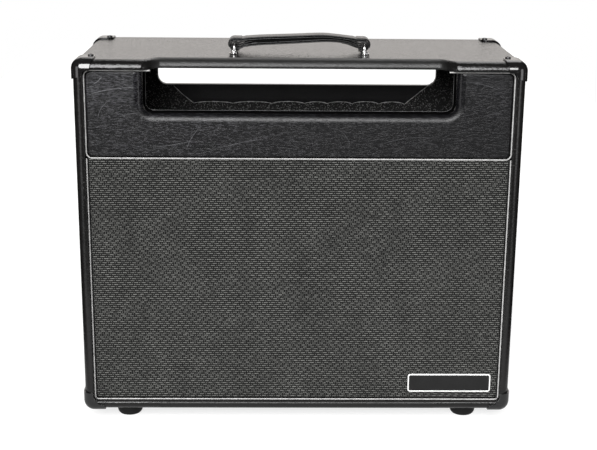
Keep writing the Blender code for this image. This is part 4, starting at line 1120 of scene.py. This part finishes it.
def corner_piece(sx, front, top):
    verts, faces, index = [], [], {}

    def place(u, v, w, off):
        # the flaps end a little shorter on the front face than on the top and side
        if v <= 0.0:
            ahead_u = 0.5 + 0.5 * min(w / ROUND, 1.0)
            ahead_w = 0.5 + 0.5 * min(u / ROUND, 1.0)
        else:
            ahead_u = ahead_w = 0.5 - 0.5 * min(v / ROUND, 1.0)
        if front and top:
            if u > 20.0:
                u -= 4.3 * smoothstep(ahead_u) * (u - 20.0) / (U_MAX - 20.0)
            if w > 20.0:
                w -= 3.6 * smoothstep(ahead_w) * (w - 20.0) / (W_MAX - 20.0)
        c = np.array((max(u, ROUND), max(v, ROUND), max(w, ROUND)))
        d = np.array((u, v, w)) - c
        d /= np.linalg.norm(d)
        p = c + d * (ROUND + off)
        return (sx * (WIDTH / 2 - p[0]), p[1] if front else DEPTH - p[1], HEIGHT - p[2] if top else p[2])

    def vert(key, off):
        k = (round(key[0], 4), round(key[1], 4), round(key[2], 4), off)
        if k not in index:
            index[k] = len(verts)
            verts.append(place(*key, off))
        return index[k]

    fillet = [14.1 + 5.5 * (1 - math.cos(math.radians(a))) for a in (0, 20, 38, 54, 68, 80, 90)]
    us = R6 + (fillet if front and top else [16.5, 18.2, 19.6]) + [22.0, 24.5, 27.0, U_MAX]
    vs = R6 + [17.0, 21.0, 25.0, 29.0, 32.0, 34.5, 36.5, V_MAX]
    ws = R6 + [16.5, 20.0, 22.5, 24.5, 26.0, W_MAX]
    cells = []

    def on_top(i, j):
        u, v = tapered(us[i], vs[j], U_MAX, V_MAX, 8.0)
        return (u, v, 0.0)

    def on_side(j, k):
        v, w = tapered(vs[j], ws[k], V_MAX, W_MAX, 8.0)
        return (0.0, v, w)

    for i in range(len(us) - 1):
        for j in range(len(vs) - 1):
            cells.append([on_top(i, j), on_top(i + 1, j), on_top(i + 1, j + 1), on_top(i, j + 1)])
    for j in range(len(vs) - 1):
        for k in range(len(ws) - 1):
            cells.append([on_side(j, k), on_side(j, k + 1), on_side(j + 1, k + 1), on_side(j + 1, k)])

    # narrow front flange: a level arm and an upright arm that meet in a fillet
    def reach(u):
        if front and top:
            if u >= 19.6:
                return 14.1
            if u > 14.1:
                return 19.6 - math.sqrt(max(0.0, 5.5 ** 2 - (19.6 - u) ** 2))
            return 19.6
        t = min(max((U_MAX - 3.0 - u) / (U_MAX - 3.0 - 13.0), 0.0), 1.0)
        return 9.6 + 10.0 * t ** 2.4

    share = [w / 13.0 for w in R6]
    full = [w for w in ws if w > 13.0]
    corner_w = reach(13.0)
    extra = [w for w in full if w > corner_w + 1.0]

    def on_front(i, s):
        u = us[i]
        limit = reach(u) if u > 13.0 else corner_w
        if limit <= 13.0 or s <= 1.0:
            w = s * min(limit, 13.0)
        else:
            w = 13.0 + (s - 1.0) * (limit - 13.0)
        return (u, 0.0, w)

    steps = share + [1.34, 1.67, 2.0]
    for i in range(len(us) - 1):
        for a, b in zip(steps, steps[1:]):
            if a >= 1.0 and us[i] >= 12.9 and reach(us[i]) <= 13.0:
                continue
            quad = [on_front(i, a), on_front(i, b), on_front(i + 1, b), on_front(i + 1, a)]
            clean = []
            for q in quad:
                if not any(abs(q[0] - r[0]) + abs(q[2] - r[2]) < 1e-3 for r in clean):
                    clean.append(q)
            if len(clean) > 2:
                cells.append(clean)
    rows = [corner_w] + extra
    for i in range(len(R6) - 1):
        for a, b in zip(rows, rows[1:]):
            cells.append([(us[i], 0.0, a), (us[i], 0.0, b), (us[i + 1], 0.0, b), (us[i + 1], 0.0, a)])

    # the side flap's lines above the rounded edge have to meet the front's on the shared edge
    count = {}

    def rk(p):
        return (round(p[0], 4), round(p[1], 4), round(p[2], 4))

    for cell in cells:
        for m in range(len(cell)):
            e = frozenset((rk(cell[m]), rk(cell[(m + 1) % len(cell)])))
            count[e] = count.get(e, 0) + 1
    for cell in cells:
        faces.append(tuple(vert(p, HI) for p in cell))
        faces.append(tuple(vert(p, LO) for p in reversed(cell)))
        for m in range(len(cell)):
            p, q = cell[m], cell[(m + 1) % len(cell)]
            if count[frozenset((rk(p), rk(q)))] == 1:
                faces.append((vert(p, HI), vert(p, LO), vert(q, LO), vert(q, HI)))
    return np.array(verts), faces


def screw_head(at, axis, radius=4.0, height=2.2, cross=2.3, turn=0.5):
    """A pan head with a cross recess. axis is the direction that the head faces."""
    axis = np.array(axis, float)
    helper = np.array((0.0, 0.0, 1.0)) if abs(axis[2]) < 0.9 else np.array((0.0, 1.0, 0.0))
    a = np.cross(helper, axis)
    a /= np.linalg.norm(a)
    b = np.cross(axis, a)
    at = np.array(at, float)
    n = 32
    radii = [0.0, 0.35, 0.7, 1.05, 1.4, 1.75, 2.1, 2.45, 2.8, 3.15, 3.45, 3.7, 3.85, 3.95, 4.0]
    verts, faces = [], []

    def top(x, y, r):
        h = height * (1 - (r / 4.0) ** 2 * 0.30) if r < 3.4 else height * (0.78 - 0.50 * ((r - 3.4) / 0.6) ** 2)
        cx, cy = x * math.cos(turn) + y * math.sin(turn), -x * math.sin(turn) + y * math.cos(turn)
        arm = max(min(0.52 - abs(cx), cross - abs(cy)), min(0.52 - abs(cy), cross - abs(cx)))
        if arm > 0:
            h -= min(1.2, arm * 4.0)
        return h

    scale = radius / 4.0
    for r in radii:
        for k in range(n):
            t = 2 * math.pi * k / n
            x, y = r * math.cos(t), r * math.sin(t)
            verts.append(at + a * x * scale + b * y * scale + axis * top(x, y, r))
    for k in range(n):
        t = 2 * math.pi * k / n
        verts.append(at + (a * math.cos(t) + b * math.sin(t)) * 4.0 * scale)
    rows = len(radii) + 1
    for i in range(rows - 1):
        for k in range(n):
            m = (k + 1) % n
            if i == 0:
                faces.append((k, n + k, n + m))
            else:
                faces.append((i * n + k, (i + 1) * n + k, (i + 1) * n + m, i * n + m))
    faces.append(tuple(range((rows - 1) * n, rows * n))[::-1])
    return np.array(verts), faces


turns = np.random.default_rng(11)
for top in (True, False):
    for front in (True, False):
        for side, sx in (("left", -1), ("right", 1)):
            tag = ("top" if top else "bottom") + "_" + ("front" if front else "rear") + "_" + side
            v, f = corner_piece(sx, front, top)
            make("protector_" + tag, v, f, PLASTIC, stands_for=["corner_" + tag],
                 smooth=40, bevel=(0.75, 3, 50.0))
            sy = 28.0 if front else DEPTH - 28.0
            up = 1.0 if top else -1.0
            z = HEIGHT + 2.45 + 0.1 if top else -2.55
            v, f = screw_head((sx * (WIDTH / 2 - 23.0), sy, z), (0, 0, up), turn=float(turns.uniform(0, 1.5)))
            make("protector_screw_" + tag, v, f, SCREW, stands_for=["corner_screw_" + tag], smooth=30)
            zz = HEIGHT - 20.5 if top else 20.5
            v, f = screw_head((sx * (WIDTH / 2 + 1.9), sy, zz), (sx, 0, 0), radius=2.9, height=0.8, cross=2.2,
                              turn=float(turns.uniform(0, 1.5)))
            make("side_flap_screw_" + tag, v, f, SCREW, smooth=30)

# ------------------------------------------------------------------ feet
foot = rounded([(2.9, -GAP), (2.9, -9.0), (9.0, -9.0), (9.0, -FLOOR)], 1.0, 3)
foot += [(13.2, -FLOOR), (14.6, -19.85), (15.8, -19.3), (16.8, -18.2), (17.9, -16.4), (18.6, -13.8), (19.0, -10.0), (19.2, -6.0), (19.3, -2.4),
         (19.2, -1.2), (18.6, -GAP)]
for front in (True, False):
    for side, sx in (("left", -1), ("right", 1)):
        tag = ("front" if front else "rear") + "_" + side
        at = (sx * FOOT_X, FOOT_Y if front else DEPTH - FOOT_Y, 0.0)
        v, f = lathe(foot, 64, at, "Z")
        make("rubber_foot_" + tag, v, f, RUBBER, stands_for=["foot_" + tag], smooth=35)


# ------------------------------------------------------------------ handle brackets: chrome loops that flare into their feet
def bracket(side, sx):
    x = sx * HANDLE_X
    reach_y, bend = HANDLE_REACH, 5.0
    half = [(0.0, BAR_Z)]
    half += [(y, z) for y, z, _, _ in arc(reach_y - bend, BAR_Z - bend, bend, 90, 0, 10)]
    half += [(reach_y, 518.2)]
    half += [(y, z) for y, z, _, _ in arc(reach_y + 2.8, 517.2, 2.8, 180, 270, 8)]
    half += [(reach_y + 13.0, 514.4)]
    p, s = resampled(half, 0.8)
    total = s[-1]
    path = np.concatenate([np.stack([np.full(len(p), x), HANDLE_Y - p[::-1, 0], p[::-1, 1]], axis=1),
                           np.stack([np.full(len(p) - 1, x), HANDLE_Y + p[1:, 0], p[1:, 1]], axis=1)])
    length = np.concatenate([[0.0], np.cumsum(np.linalg.norm(np.diff(path, axis=0), axis=1))])
    mid = length[-1] / 2
    flat_from = reach_y - bend + bend * math.pi / 2 + 0.8      # start of the flare, from the bar's middle

    def section(i, s_):
        d = abs(length[i] - mid)
        t = smoothstep((d - flat_from) / 8.5)
        wide = BAR_R + (6.5 - BAR_R) * t
        thick = BAR_R + (1.05 - BAR_R) * t
        end = mid - d
        if end < 6.5:
            wide = max(0.35, 6.5 * math.sqrt(max(0.0, 1 - ((6.5 - end) / 6.5) ** 2)))
        power = 2.0 + 2.2 * t
        out = []
        for k in range(20):
            a = 2 * math.pi * k / 20
            c, s2 = math.cos(a), math.sin(a)
            out.append((thick * math.copysign(abs(c) ** (2 / power), c), wide * math.copysign(abs(s2) ** (2 / power), s2)))
        return out

    v, f = swept(path, (1, 0, 0), section)
    v[:, 2] = np.maximum(v[:, 2], HEIGHT + 0.3)
    make("chrome_loop_" + side, v, f, CHROME, stands_for=["handle_bracket_" + side], smooth=50)
    for tag, sy in (("front", -1), ("rear", 1)):
        at = (x, HANDLE_Y + sy * (HANDLE_REACH + 7.6), HEIGHT + 2.3)
        v, f = screw_head(at, (0, 0, 1), radius=3.4, height=2.0, cross=2.2, turn=float(turns.uniform(0, 1.5)))
        make("loop_screw_%s_%s" % (tag, side), v, f, ZINC, stands_for=["handle_screw_%s_%s" % (tag, side)], smooth=30)


bracket("left", -1)
bracket("right", 1)

# ------------------------------------------------------------------ strap handle: plies folded round the bars
LOOP_R, LOOP_Z = 8.8, 525.5
UPPER = [(-92.0, 534.3), (-78.0, 534.2), (-54.0, 535.8), (-27.0, 536.8), (0.0, 537.8),
         (33.0, 539.0), (54.0, 537.4), (77.0, 534.8), (92.0, 534.3)]
LOWER = [(-92.0, 516.7), (-84.0, 518.2), (-76.0, 521.2), (-54.0, 523.8), (-26.0, 525.2), (4.0, 527.0),
         (32.0, 528.6), (46.0, 528.7), (62.0, 527.2), (76.0, 523.6), (85.0, 518.8), (92.0, 516.7)]
xs = np.linspace(-HANDLE_X, HANDLE_X, 70)
hoop = [(x, through(UPPER, x)) for x in xs[:-1]]
hoop += [(x, z) for x, z, _, _ in arc(HANDLE_X, LOOP_Z, LOOP_R, 90, -90, 22)]
hoop += [(x, through(LOWER, x)) for x in xs[::-1][1:-1]]
hoop += [(x, z) for x, z, _, _ in arc(-HANDLE_X, LOOP_Z, LOOP_R, 270, 90, 22)][:-1]


def offset_in(points, e, closed=True):
    """Moves a clockwise outline inwards by e."""
    p = np.asarray(points, float)
    t = (np.roll(p, -1, axis=0) - np.roll(p, 1, axis=0)) if closed else np.gradient(p, axis=0)
    t /= np.linalg.norm(t, axis=1)[:, None]
    return p + np.stack([t[:, 1], -t[:, 0]], axis=1) * np.reshape(e, (-1, 1))


def ply(points, thick, closed=False, wide=HANDLE_W, radius=0.75):
    p = np.asarray(points, float)
    p3 = np.stack([p[:, 0], np.full(len(p), HANDLE_Y), p[:, 1]], axis=1)
    sec = slab_section(thick, wide, radius)
    return swept(p3, (0, 1, 0), lambda i, s: sec, closed=closed)


hoop = np.array(hoop)
# the ends carry a short outer wrap, so the plies under it lie deeper there
deeper = np.array([0.95 * smoothstep((abs(x) - 76.0) / 5.0) if z > LOOP_Z - 6.0 else 0.0 for x, z in hoop])
v1 = ply(offset_in(hoop, 0.85 + deeper), 1.65, closed=True)
inner = offset_in(hoop, 3.25 + deeper)
# the second ply runs over both eyes and along the grip's underside, and leaves the eyes' lower half free for the lift
n_over, n_under = len(xs) - 1 + 22, len(xs) - 1 + 22 + len(xs) - 2
order = [i for i in list(range(n_under, len(inner))) + list(range(n_over)) if inner[i, 1] > LOOP_Z - 3.5]
second = ply(inner[order], 1.5, wide=HANDLE_W - 0.5)
under = ply(inner[[i for i in range(n_over, n_under) if abs(inner[i, 0]) < HANDLE_X - 8.0]], 1.5, wide=HANDLE_W - 0.5)
low = np.array([(x, through(LOWER, x) + 3.2) for x in np.linspace(-80.0, 79.0, 50)])
third = ply(low, 1.3, radius=0.6, wide=HANDLE_W - 0.9)
caps = []
for sgn, x_end in ((-1, -81.5), (1, 81.5)):
    a = [(sgn * HANDLE_X + sgn * (LOOP_R - 0.45) * math.sin(t), LOOP_Z + (LOOP_R - 0.45) * math.cos(t)) for t in np.linspace(2.2, 0.0, 22)]
    a += [(x, through(UPPER, x) - 0.45) for x in np.linspace(sgn * (HANDLE_X - 2.0), x_end, 8)]
    caps.append(ply(np.array(a if sgn < 0 else a), 0.85, radius=0.4, wide=HANDLE_W - 0.2))
# lining of each eye, and the tongues that run from it into the grip
cores = []
for sgn in (-1, 1):
    cx = sgn * HANDLE_X
    ring = []
    for k in range(32):
        t = 2 * math.pi * (k + 0.5) / 32
        ring.append((cx + 4.1 * math.cos(t), 523.2 + 4.1 * math.sin(t) + math.copysign(1.5, math.sin(t))))
    cores.append(ply(np.array(ring[::-1]), 1.1, closed=True, radius=0.5, wide=HANDLE_W - 0.3))
    for dz0, x_end, z_end in ((-4.4, 60.0, 527.4), (-1.4, 67.0, 529.2), (1.6, 74.0, 530.2)):
        pts = []
        for t in np.linspace(0, 1, 14):
            x = cx - sgn * 4.4 + (sgn * x_end - cx + sgn * 4.4) * t
            z = BAR_Z + dz0 + (z_end - BAR_Z - dz0) * smoothstep(t)
            pts.append((x, z))
        if sgn > 0:
            pts = pts[::-1]
        cores.append(ply(np.array(pts), 1.15, radius=0.5, wide=HANDLE_W - 0.8))
v, f = joined(v1, second, under, third, *caps, *cores)
plies = make("strap_plies", v, f, STRAP, body="handle", stands_for=["handle_strap"], smooth=50)
plies.data.materials.append(PLY_EDGE)
for p in plies.data.polygons:
    if abs(p.normal.y) > 0.75:
        p.material_index = 1
core_x = np.linspace(-78.0, 77.0, 44)
top_in = np.array([through(UPPER, x) - 4.1 for x in core_x])
low_in = np.array([through(LOWER, x) + 3.9 for x in core_x])
mid_z = (top_in + low_in) / 2
v, f = swept(np.stack([core_x, np.full(44, HANDLE_Y), mid_z], axis=1), (0, 1, 0),
             lambda i, s: slab_section(max(top_in[i] - low_in[i], 0.8), HANDLE_W - 4.5, 0.4))
make("strap_core", v, f, CORE, body="handle", smooth=50)

# ------------------------------------------------------------------ back panels
e3 = 2.0
outline_back = (INNER_HALF - 0.3, BACK_UPPER_LOW, INNER_TOP, BACK_SILL, 3.0, 1.0)
levels = [(BACK_Y0, 4.0, 4.0), (BACK_Y0, 1.0, 1.0), (BACK_Y0 + 0.4, 0.3, 0.3), (BACK_Y0 + 1.2, 0, 0)]
for i in range(7):
    t = math.pi / 2 * i / 6
    levels.append((BACK_Y1 - e3 + e3 * math.sin(t), e3 * (1 - math.cos(t)), e3 * (1 - math.cos(t))))
levels += [(BACK_Y1, 3.0, 3.0), (BACK_Y1, 6.0, 6.0)]
v, f = panel(outline_back, levels)
upper = make("upper_back_covered", v, f, BACK_VINYL, stands_for=["upper_back_panel"], smooth=40)
upper.data.materials.append(RAW_BLACK)
for p in upper.data.polygons:
    if p.normal.y < -0.9:
        p.material_index = 1


def slab(half, low, top, y0, y1, r_edge=2.0):
    def lv(y, e):
        return [(x, y, z) for x, z in framed(half - e, low + e, top - e, max(3.0 - e, 0.05), max(3.0 - e, 0.05), 6)]

    rows = [lv(y0, 4.0), lv(y0, 0.8), lv(y0 + 0.8, 0.0)]
    for i in range(7):
        t = math.pi / 2 * i / 6
        rows.append(lv(y1 - r_edge + r_edge * math.sin(t), r_edge * (1 - math.cos(t))))
    rows += [lv(y1, 3.0), lv(y1, 6.0)]
    return skin(rows)


v, f = slab(INNER_HALF - 0.3, INNER_LOW, BACK_LOWER_TOP, BACK_Y0, BACK_Y1)
lower = make("lower_back_covered", v, f, BACK_VINYL, stands_for=["lower_back_panel"], smooth=40)
lower.data.materials.append(RAW_BLACK)
for p in lower.data.polygons:
    if p.normal.y < -0.9:
        p.material_index = 1

# vinyl folded over the back panel's notch on the inside: a flap whose cut edge is scalloped
cusps = [-161.0, -100.0, -39.0, 12.5, 47.0, 86.0, 128.3, 168.0]
peaks = [414.1, 414.4, 414.8, 414.6, 414.8, 415.3, 415.1]


def scallop(x):
    for a, b, h in zip(cusps, cusps[1:], peaks):
        if x <= b:
            t = (x - a) / (b - a)
            return 411.2 + (h - 411.2) * (4 * t * (1 - t)) ** 0.6
    return 411.2


edge = [(x, scallop(x)) for x in np.linspace(-161.0, 168.0, 150)]
flap_low = edge
top_z = BACK_SILL + 0.2
cols = []
for i, (x, z) in enumerate(flap_low):
    t = i / (len(flap_low) - 1)
    xt = -195.0 + (204.0 + 195.0) * t
    cols.append([(x + (xt - x) * k, z + (top_z - z) * k) for k in (0.0, 0.04, 0.25, 0.5, 0.75, 1.0)])
rings = []
for col in cols:
    ring = [(x, BACK_Y0 - (0.55 if k == 0 else 0.85), z) for k, (x, z) in enumerate(col)]
    ring += [(x, BACK_Y0 + 0.15, z) for x, z in col[::-1]]
    rings.append(ring)
v, f = skin(rings)
make("back_panel_inner_flap", v, f, FLAP_VINYL, smooth=40)
cut = [(-192.0, 438.6), (-181.0, 427.6)] + edge + [(192.0, 431.2), (211.0, 446.4)]
p, _ = resampled(cut, 1.5)
p3 = np.stack([p[:, 0], np.full(len(p), BACK_Y0 - 0.85), p[:, 1]], axis=1)
thin = 0.50 + 0.14 * np.sin(p[:, 0] * 0.33) + 0.10 * np.sin(p[:, 0] * 0.91 + 1.0)
v, f = swept(p3, (0, 1, 0), lambda i, s: [(thin[i] * math.cos(2 * math.pi * k / 6), 0.4 * math.sin(2 * math.pi * k / 6)) for k in range(6)])
make("back_panel_flap_cut_edge", v, f, CUT_EDGE, smooth=60)

# screws that hold the back panels and the baffle
n = 0
for z in (310.0, 385.0, 470.0, 120.0, 40.0):
    for sx in (-1, 1):
        n += 1
        v, f = screw_head((sx * (INNER_HALF - 10.5), BACK_Y1 - 0.2, z), (0, 1, 0), radius=3.6, height=1.6, turn=float(turns.uniform(0, 1.5)))
        make("back_panel_screw_%02d" % n, v, f, SCREW, smooth=30)

# ------------------------------------------------------------------ loudspeaker
C = (0.0, SPEAKER_Y, SPEAKER_Z)
wall_out = [(141.0, 10.5), (128.5, 22.5), (98.0, 44.0), (64.0, 62.0)]
basket_outline = ([(154.5, 0.0), (154.5, 8.0), (143.5, 8.0)] + wall_out + [(62.0, 66.0), (27.0, 66.0), (27.0, 63.6)]
                  + [(60.0, 63.6), (60.5, 60.6)] + [(96.0, 41.9), (126.2, 20.4), (138.6, 8.6), (141.9, 5.4), (141.9, 0.0)])
v, f = lathe(rounded(basket_outline, 1.2, 2), 120, C, "Y")
basket = make("speaker_basket", v, f, BASKET, body=None, smooth=30)
wv, wf = [], []
tools = []
for i in range(6):
    mid = 2 * math.pi * (i + 0.5) / 6
    lo_ring, hi_ring = [], []
    for r_, ring in ((67.0, lo_ring), (133.0, hi_ring)):
        for k in range(9):
            ring.append((r_, mid + math.radians(20.5) * (k - 4) / 4))
    shape = []
    # corners of the window rounded by easing its ends inward
    for j, (r_, t) in enumerate(lo_ring):
        e = abs(j - 4) / 4
        shape.append((r_ + (5.0 if e == 1 else 1.2 if e > 0.7 else 0.0), t))
    for j, (r_, t) in enumerate(reversed(hi_ring)):
        e = abs(j - 4) / 4
        shape.append((r_ - (7.0 if e == 1 else 1.8 if e > 0.7 else 0.0), t))
    tools.append(skin([[(C[0] + r_ * math.cos(t), C[1] + h, C[2] + r_ * math.sin(t)) for r_, t in shape] for h in (8.6, 62.2)]))
v, f = joined(*tools)
cutters = make("basket_cutters", v, f, BASKET, body=None, smooth=None)
mod = basket.modifiers.new("windows", "BOOLEAN")
mod.operation, mod.object, mod.solver = "DIFFERENCE", cutters, "EXACT"
bpy.context.view_layer.update()
done = bpy.data.meshes.new_from_object(basket.evaluated_get(bpy.context.evaluated_depsgraph_get()))
basket.modifiers.clear()
basket.data = done
bpy.data.objects.remove(cutters, do_unlink=True)
done.shade_smooth()
done.set_sharp_from_angle(angle=math.radians(30))
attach(basket, "root")
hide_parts("speaker_frame")

v, f = lathe(rounded([(32.0, 74.6), (78.0, 74.6), (78.0, 94.4), (32.0, 94.4)], 1.6, 3), 96, C, "Y")
make("ferrite_ring", v, f, FERRITE, stands_for=["speaker_magnet"], smooth=35)
v, f = lathe(rounded([(6.0, 66.3), (23.8, 66.3), (23.8, 92.0), (25.0, 94.7), (60.0, 94.7), (60.0, 101.0), (58.0, 102.7), (6.0, 102.7)], 0.9, 3),
             96, C, "Y")
make("yoke_with_pole", v, f, ZINC, stands_for=["speaker_yoke"], smooth=35)


def dense(points, step):
    p, _ = resampled(points, step)
    return [tuple(q) for q in p]


cone_rear = [(25.2, 45.6), (45.0, 34.6), (80.0, 20.0), (110.0, 8.6), (124.0, 3.6)]
rib = [(a, b - (0.55 * max(0.0, math.sin((a - 60.0) / 3.1)) if 62 < a < 118 else 0.0)) for a, b in dense(cone_rear, 1.6)]
front_side = [(a, b - 1.05) for a, b in rib[::-1]]
v, f = lathe(rib + front_side, 96, C, "Y")
make("paper_cone", v, f, CONE, body="cone", stands_for=["speaker_cone"], smooth=60)
cap_f = [(0.0, 20.0), (8.0, 20.4), (14.0, 21.3), (21.0, 23.2), (27.0, 26.0), (32.0, 29.4), (35.5, 33.0), (38.4, 35.4)]
cap_b = [(37.6, 35.9), (34.8, 33.8), (31.2, 30.2), (26.4, 27.0), (20.7, 24.2), (13.8, 22.3), (7.9, 21.4), (0.0, 21.0)]
v, f = lathe(cap_f + cap_b, 72, C, "Y")
make("paper_dust_cap", v, f, CONE, body="cone", stands_for=["speaker_dust_cap"], smooth=60)
v, f = lathe([(24.6, 46.2), (25.5, 46.2)] + [(25.5 + (0.18 if k % 2 else 0.0), 56.0 + k * 0.6) for k in range(40)] + [(25.5, 80.0), (24.6, 80.0)], 64, C, "Y")
make("wound_coil", v, f, COIL, body="cone", stands_for=["speaker_voice_coil"], smooth=40)


def bending(name, profile, thick, steps, mat, node):
    """A ring between the still frame and the moving cone, made in place and attached to no body."""
    top_side = dense(profile, 0.7)
    outline = top_side + [(a, b + thick) for a, b in top_side[::-1]]
    v, f = lathe(outline, steps, C, "Y")
    ob = make(name, v, f, mat, body=None, smooth=60)
    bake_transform(ob)
    co = np.empty(len(ob.data.vertices) * 3, np.float32)
    ob.data.vertices.foreach_get("co", co)
    co = co.reshape(-1, 3)
    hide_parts(node)
    return ob


roll = [(124.4, 3.6)]
roll += [(124.4 + 8.2 * (1 - math.cos(t)) / 2, 3.6 - 2.7 * math.sin(t)) for t in np.linspace(0.1, math.pi - 0.1, 12)]
roll += [(132.6, 3.3)]
roll += [(132.8 + 8.2 * (1 - math.cos(t)) / 2, 3.5 - 2.6 * math.sin(t)) for t in np.linspace(0.1, math.pi - 0.1, 12)] + [(141.2, 3.6)]
bending("flexing_surround", roll, 0.8, 120, CONE, "speaker_surround")
wave = [(26.2, 56.2)] + [(26.2 + 28.3 * k / 60, 56.3 + 1.1 * math.sin(k / 60 * math.pi * 9)) for k in range(1, 60)] + [(54.5, 56.2)]
bending("flexing_spider", wave, 0.7, 96, TREATED, "speaker_spider")

for k in range(4):
    t = math.radians(45 + 90 * k)
    x, z = 148.5 * math.cos(t), SPEAKER_Z + 148.5 * math.sin(t)
    v, f = screw_head((x, SPEAKER_Y + 8.1, z), (0, 1, 0), radius=4.2, height=2.4, turn=0.3 * k)
    make("speaker_bolt_%d" % (k + 1), v, f, ZINC, smooth=30)
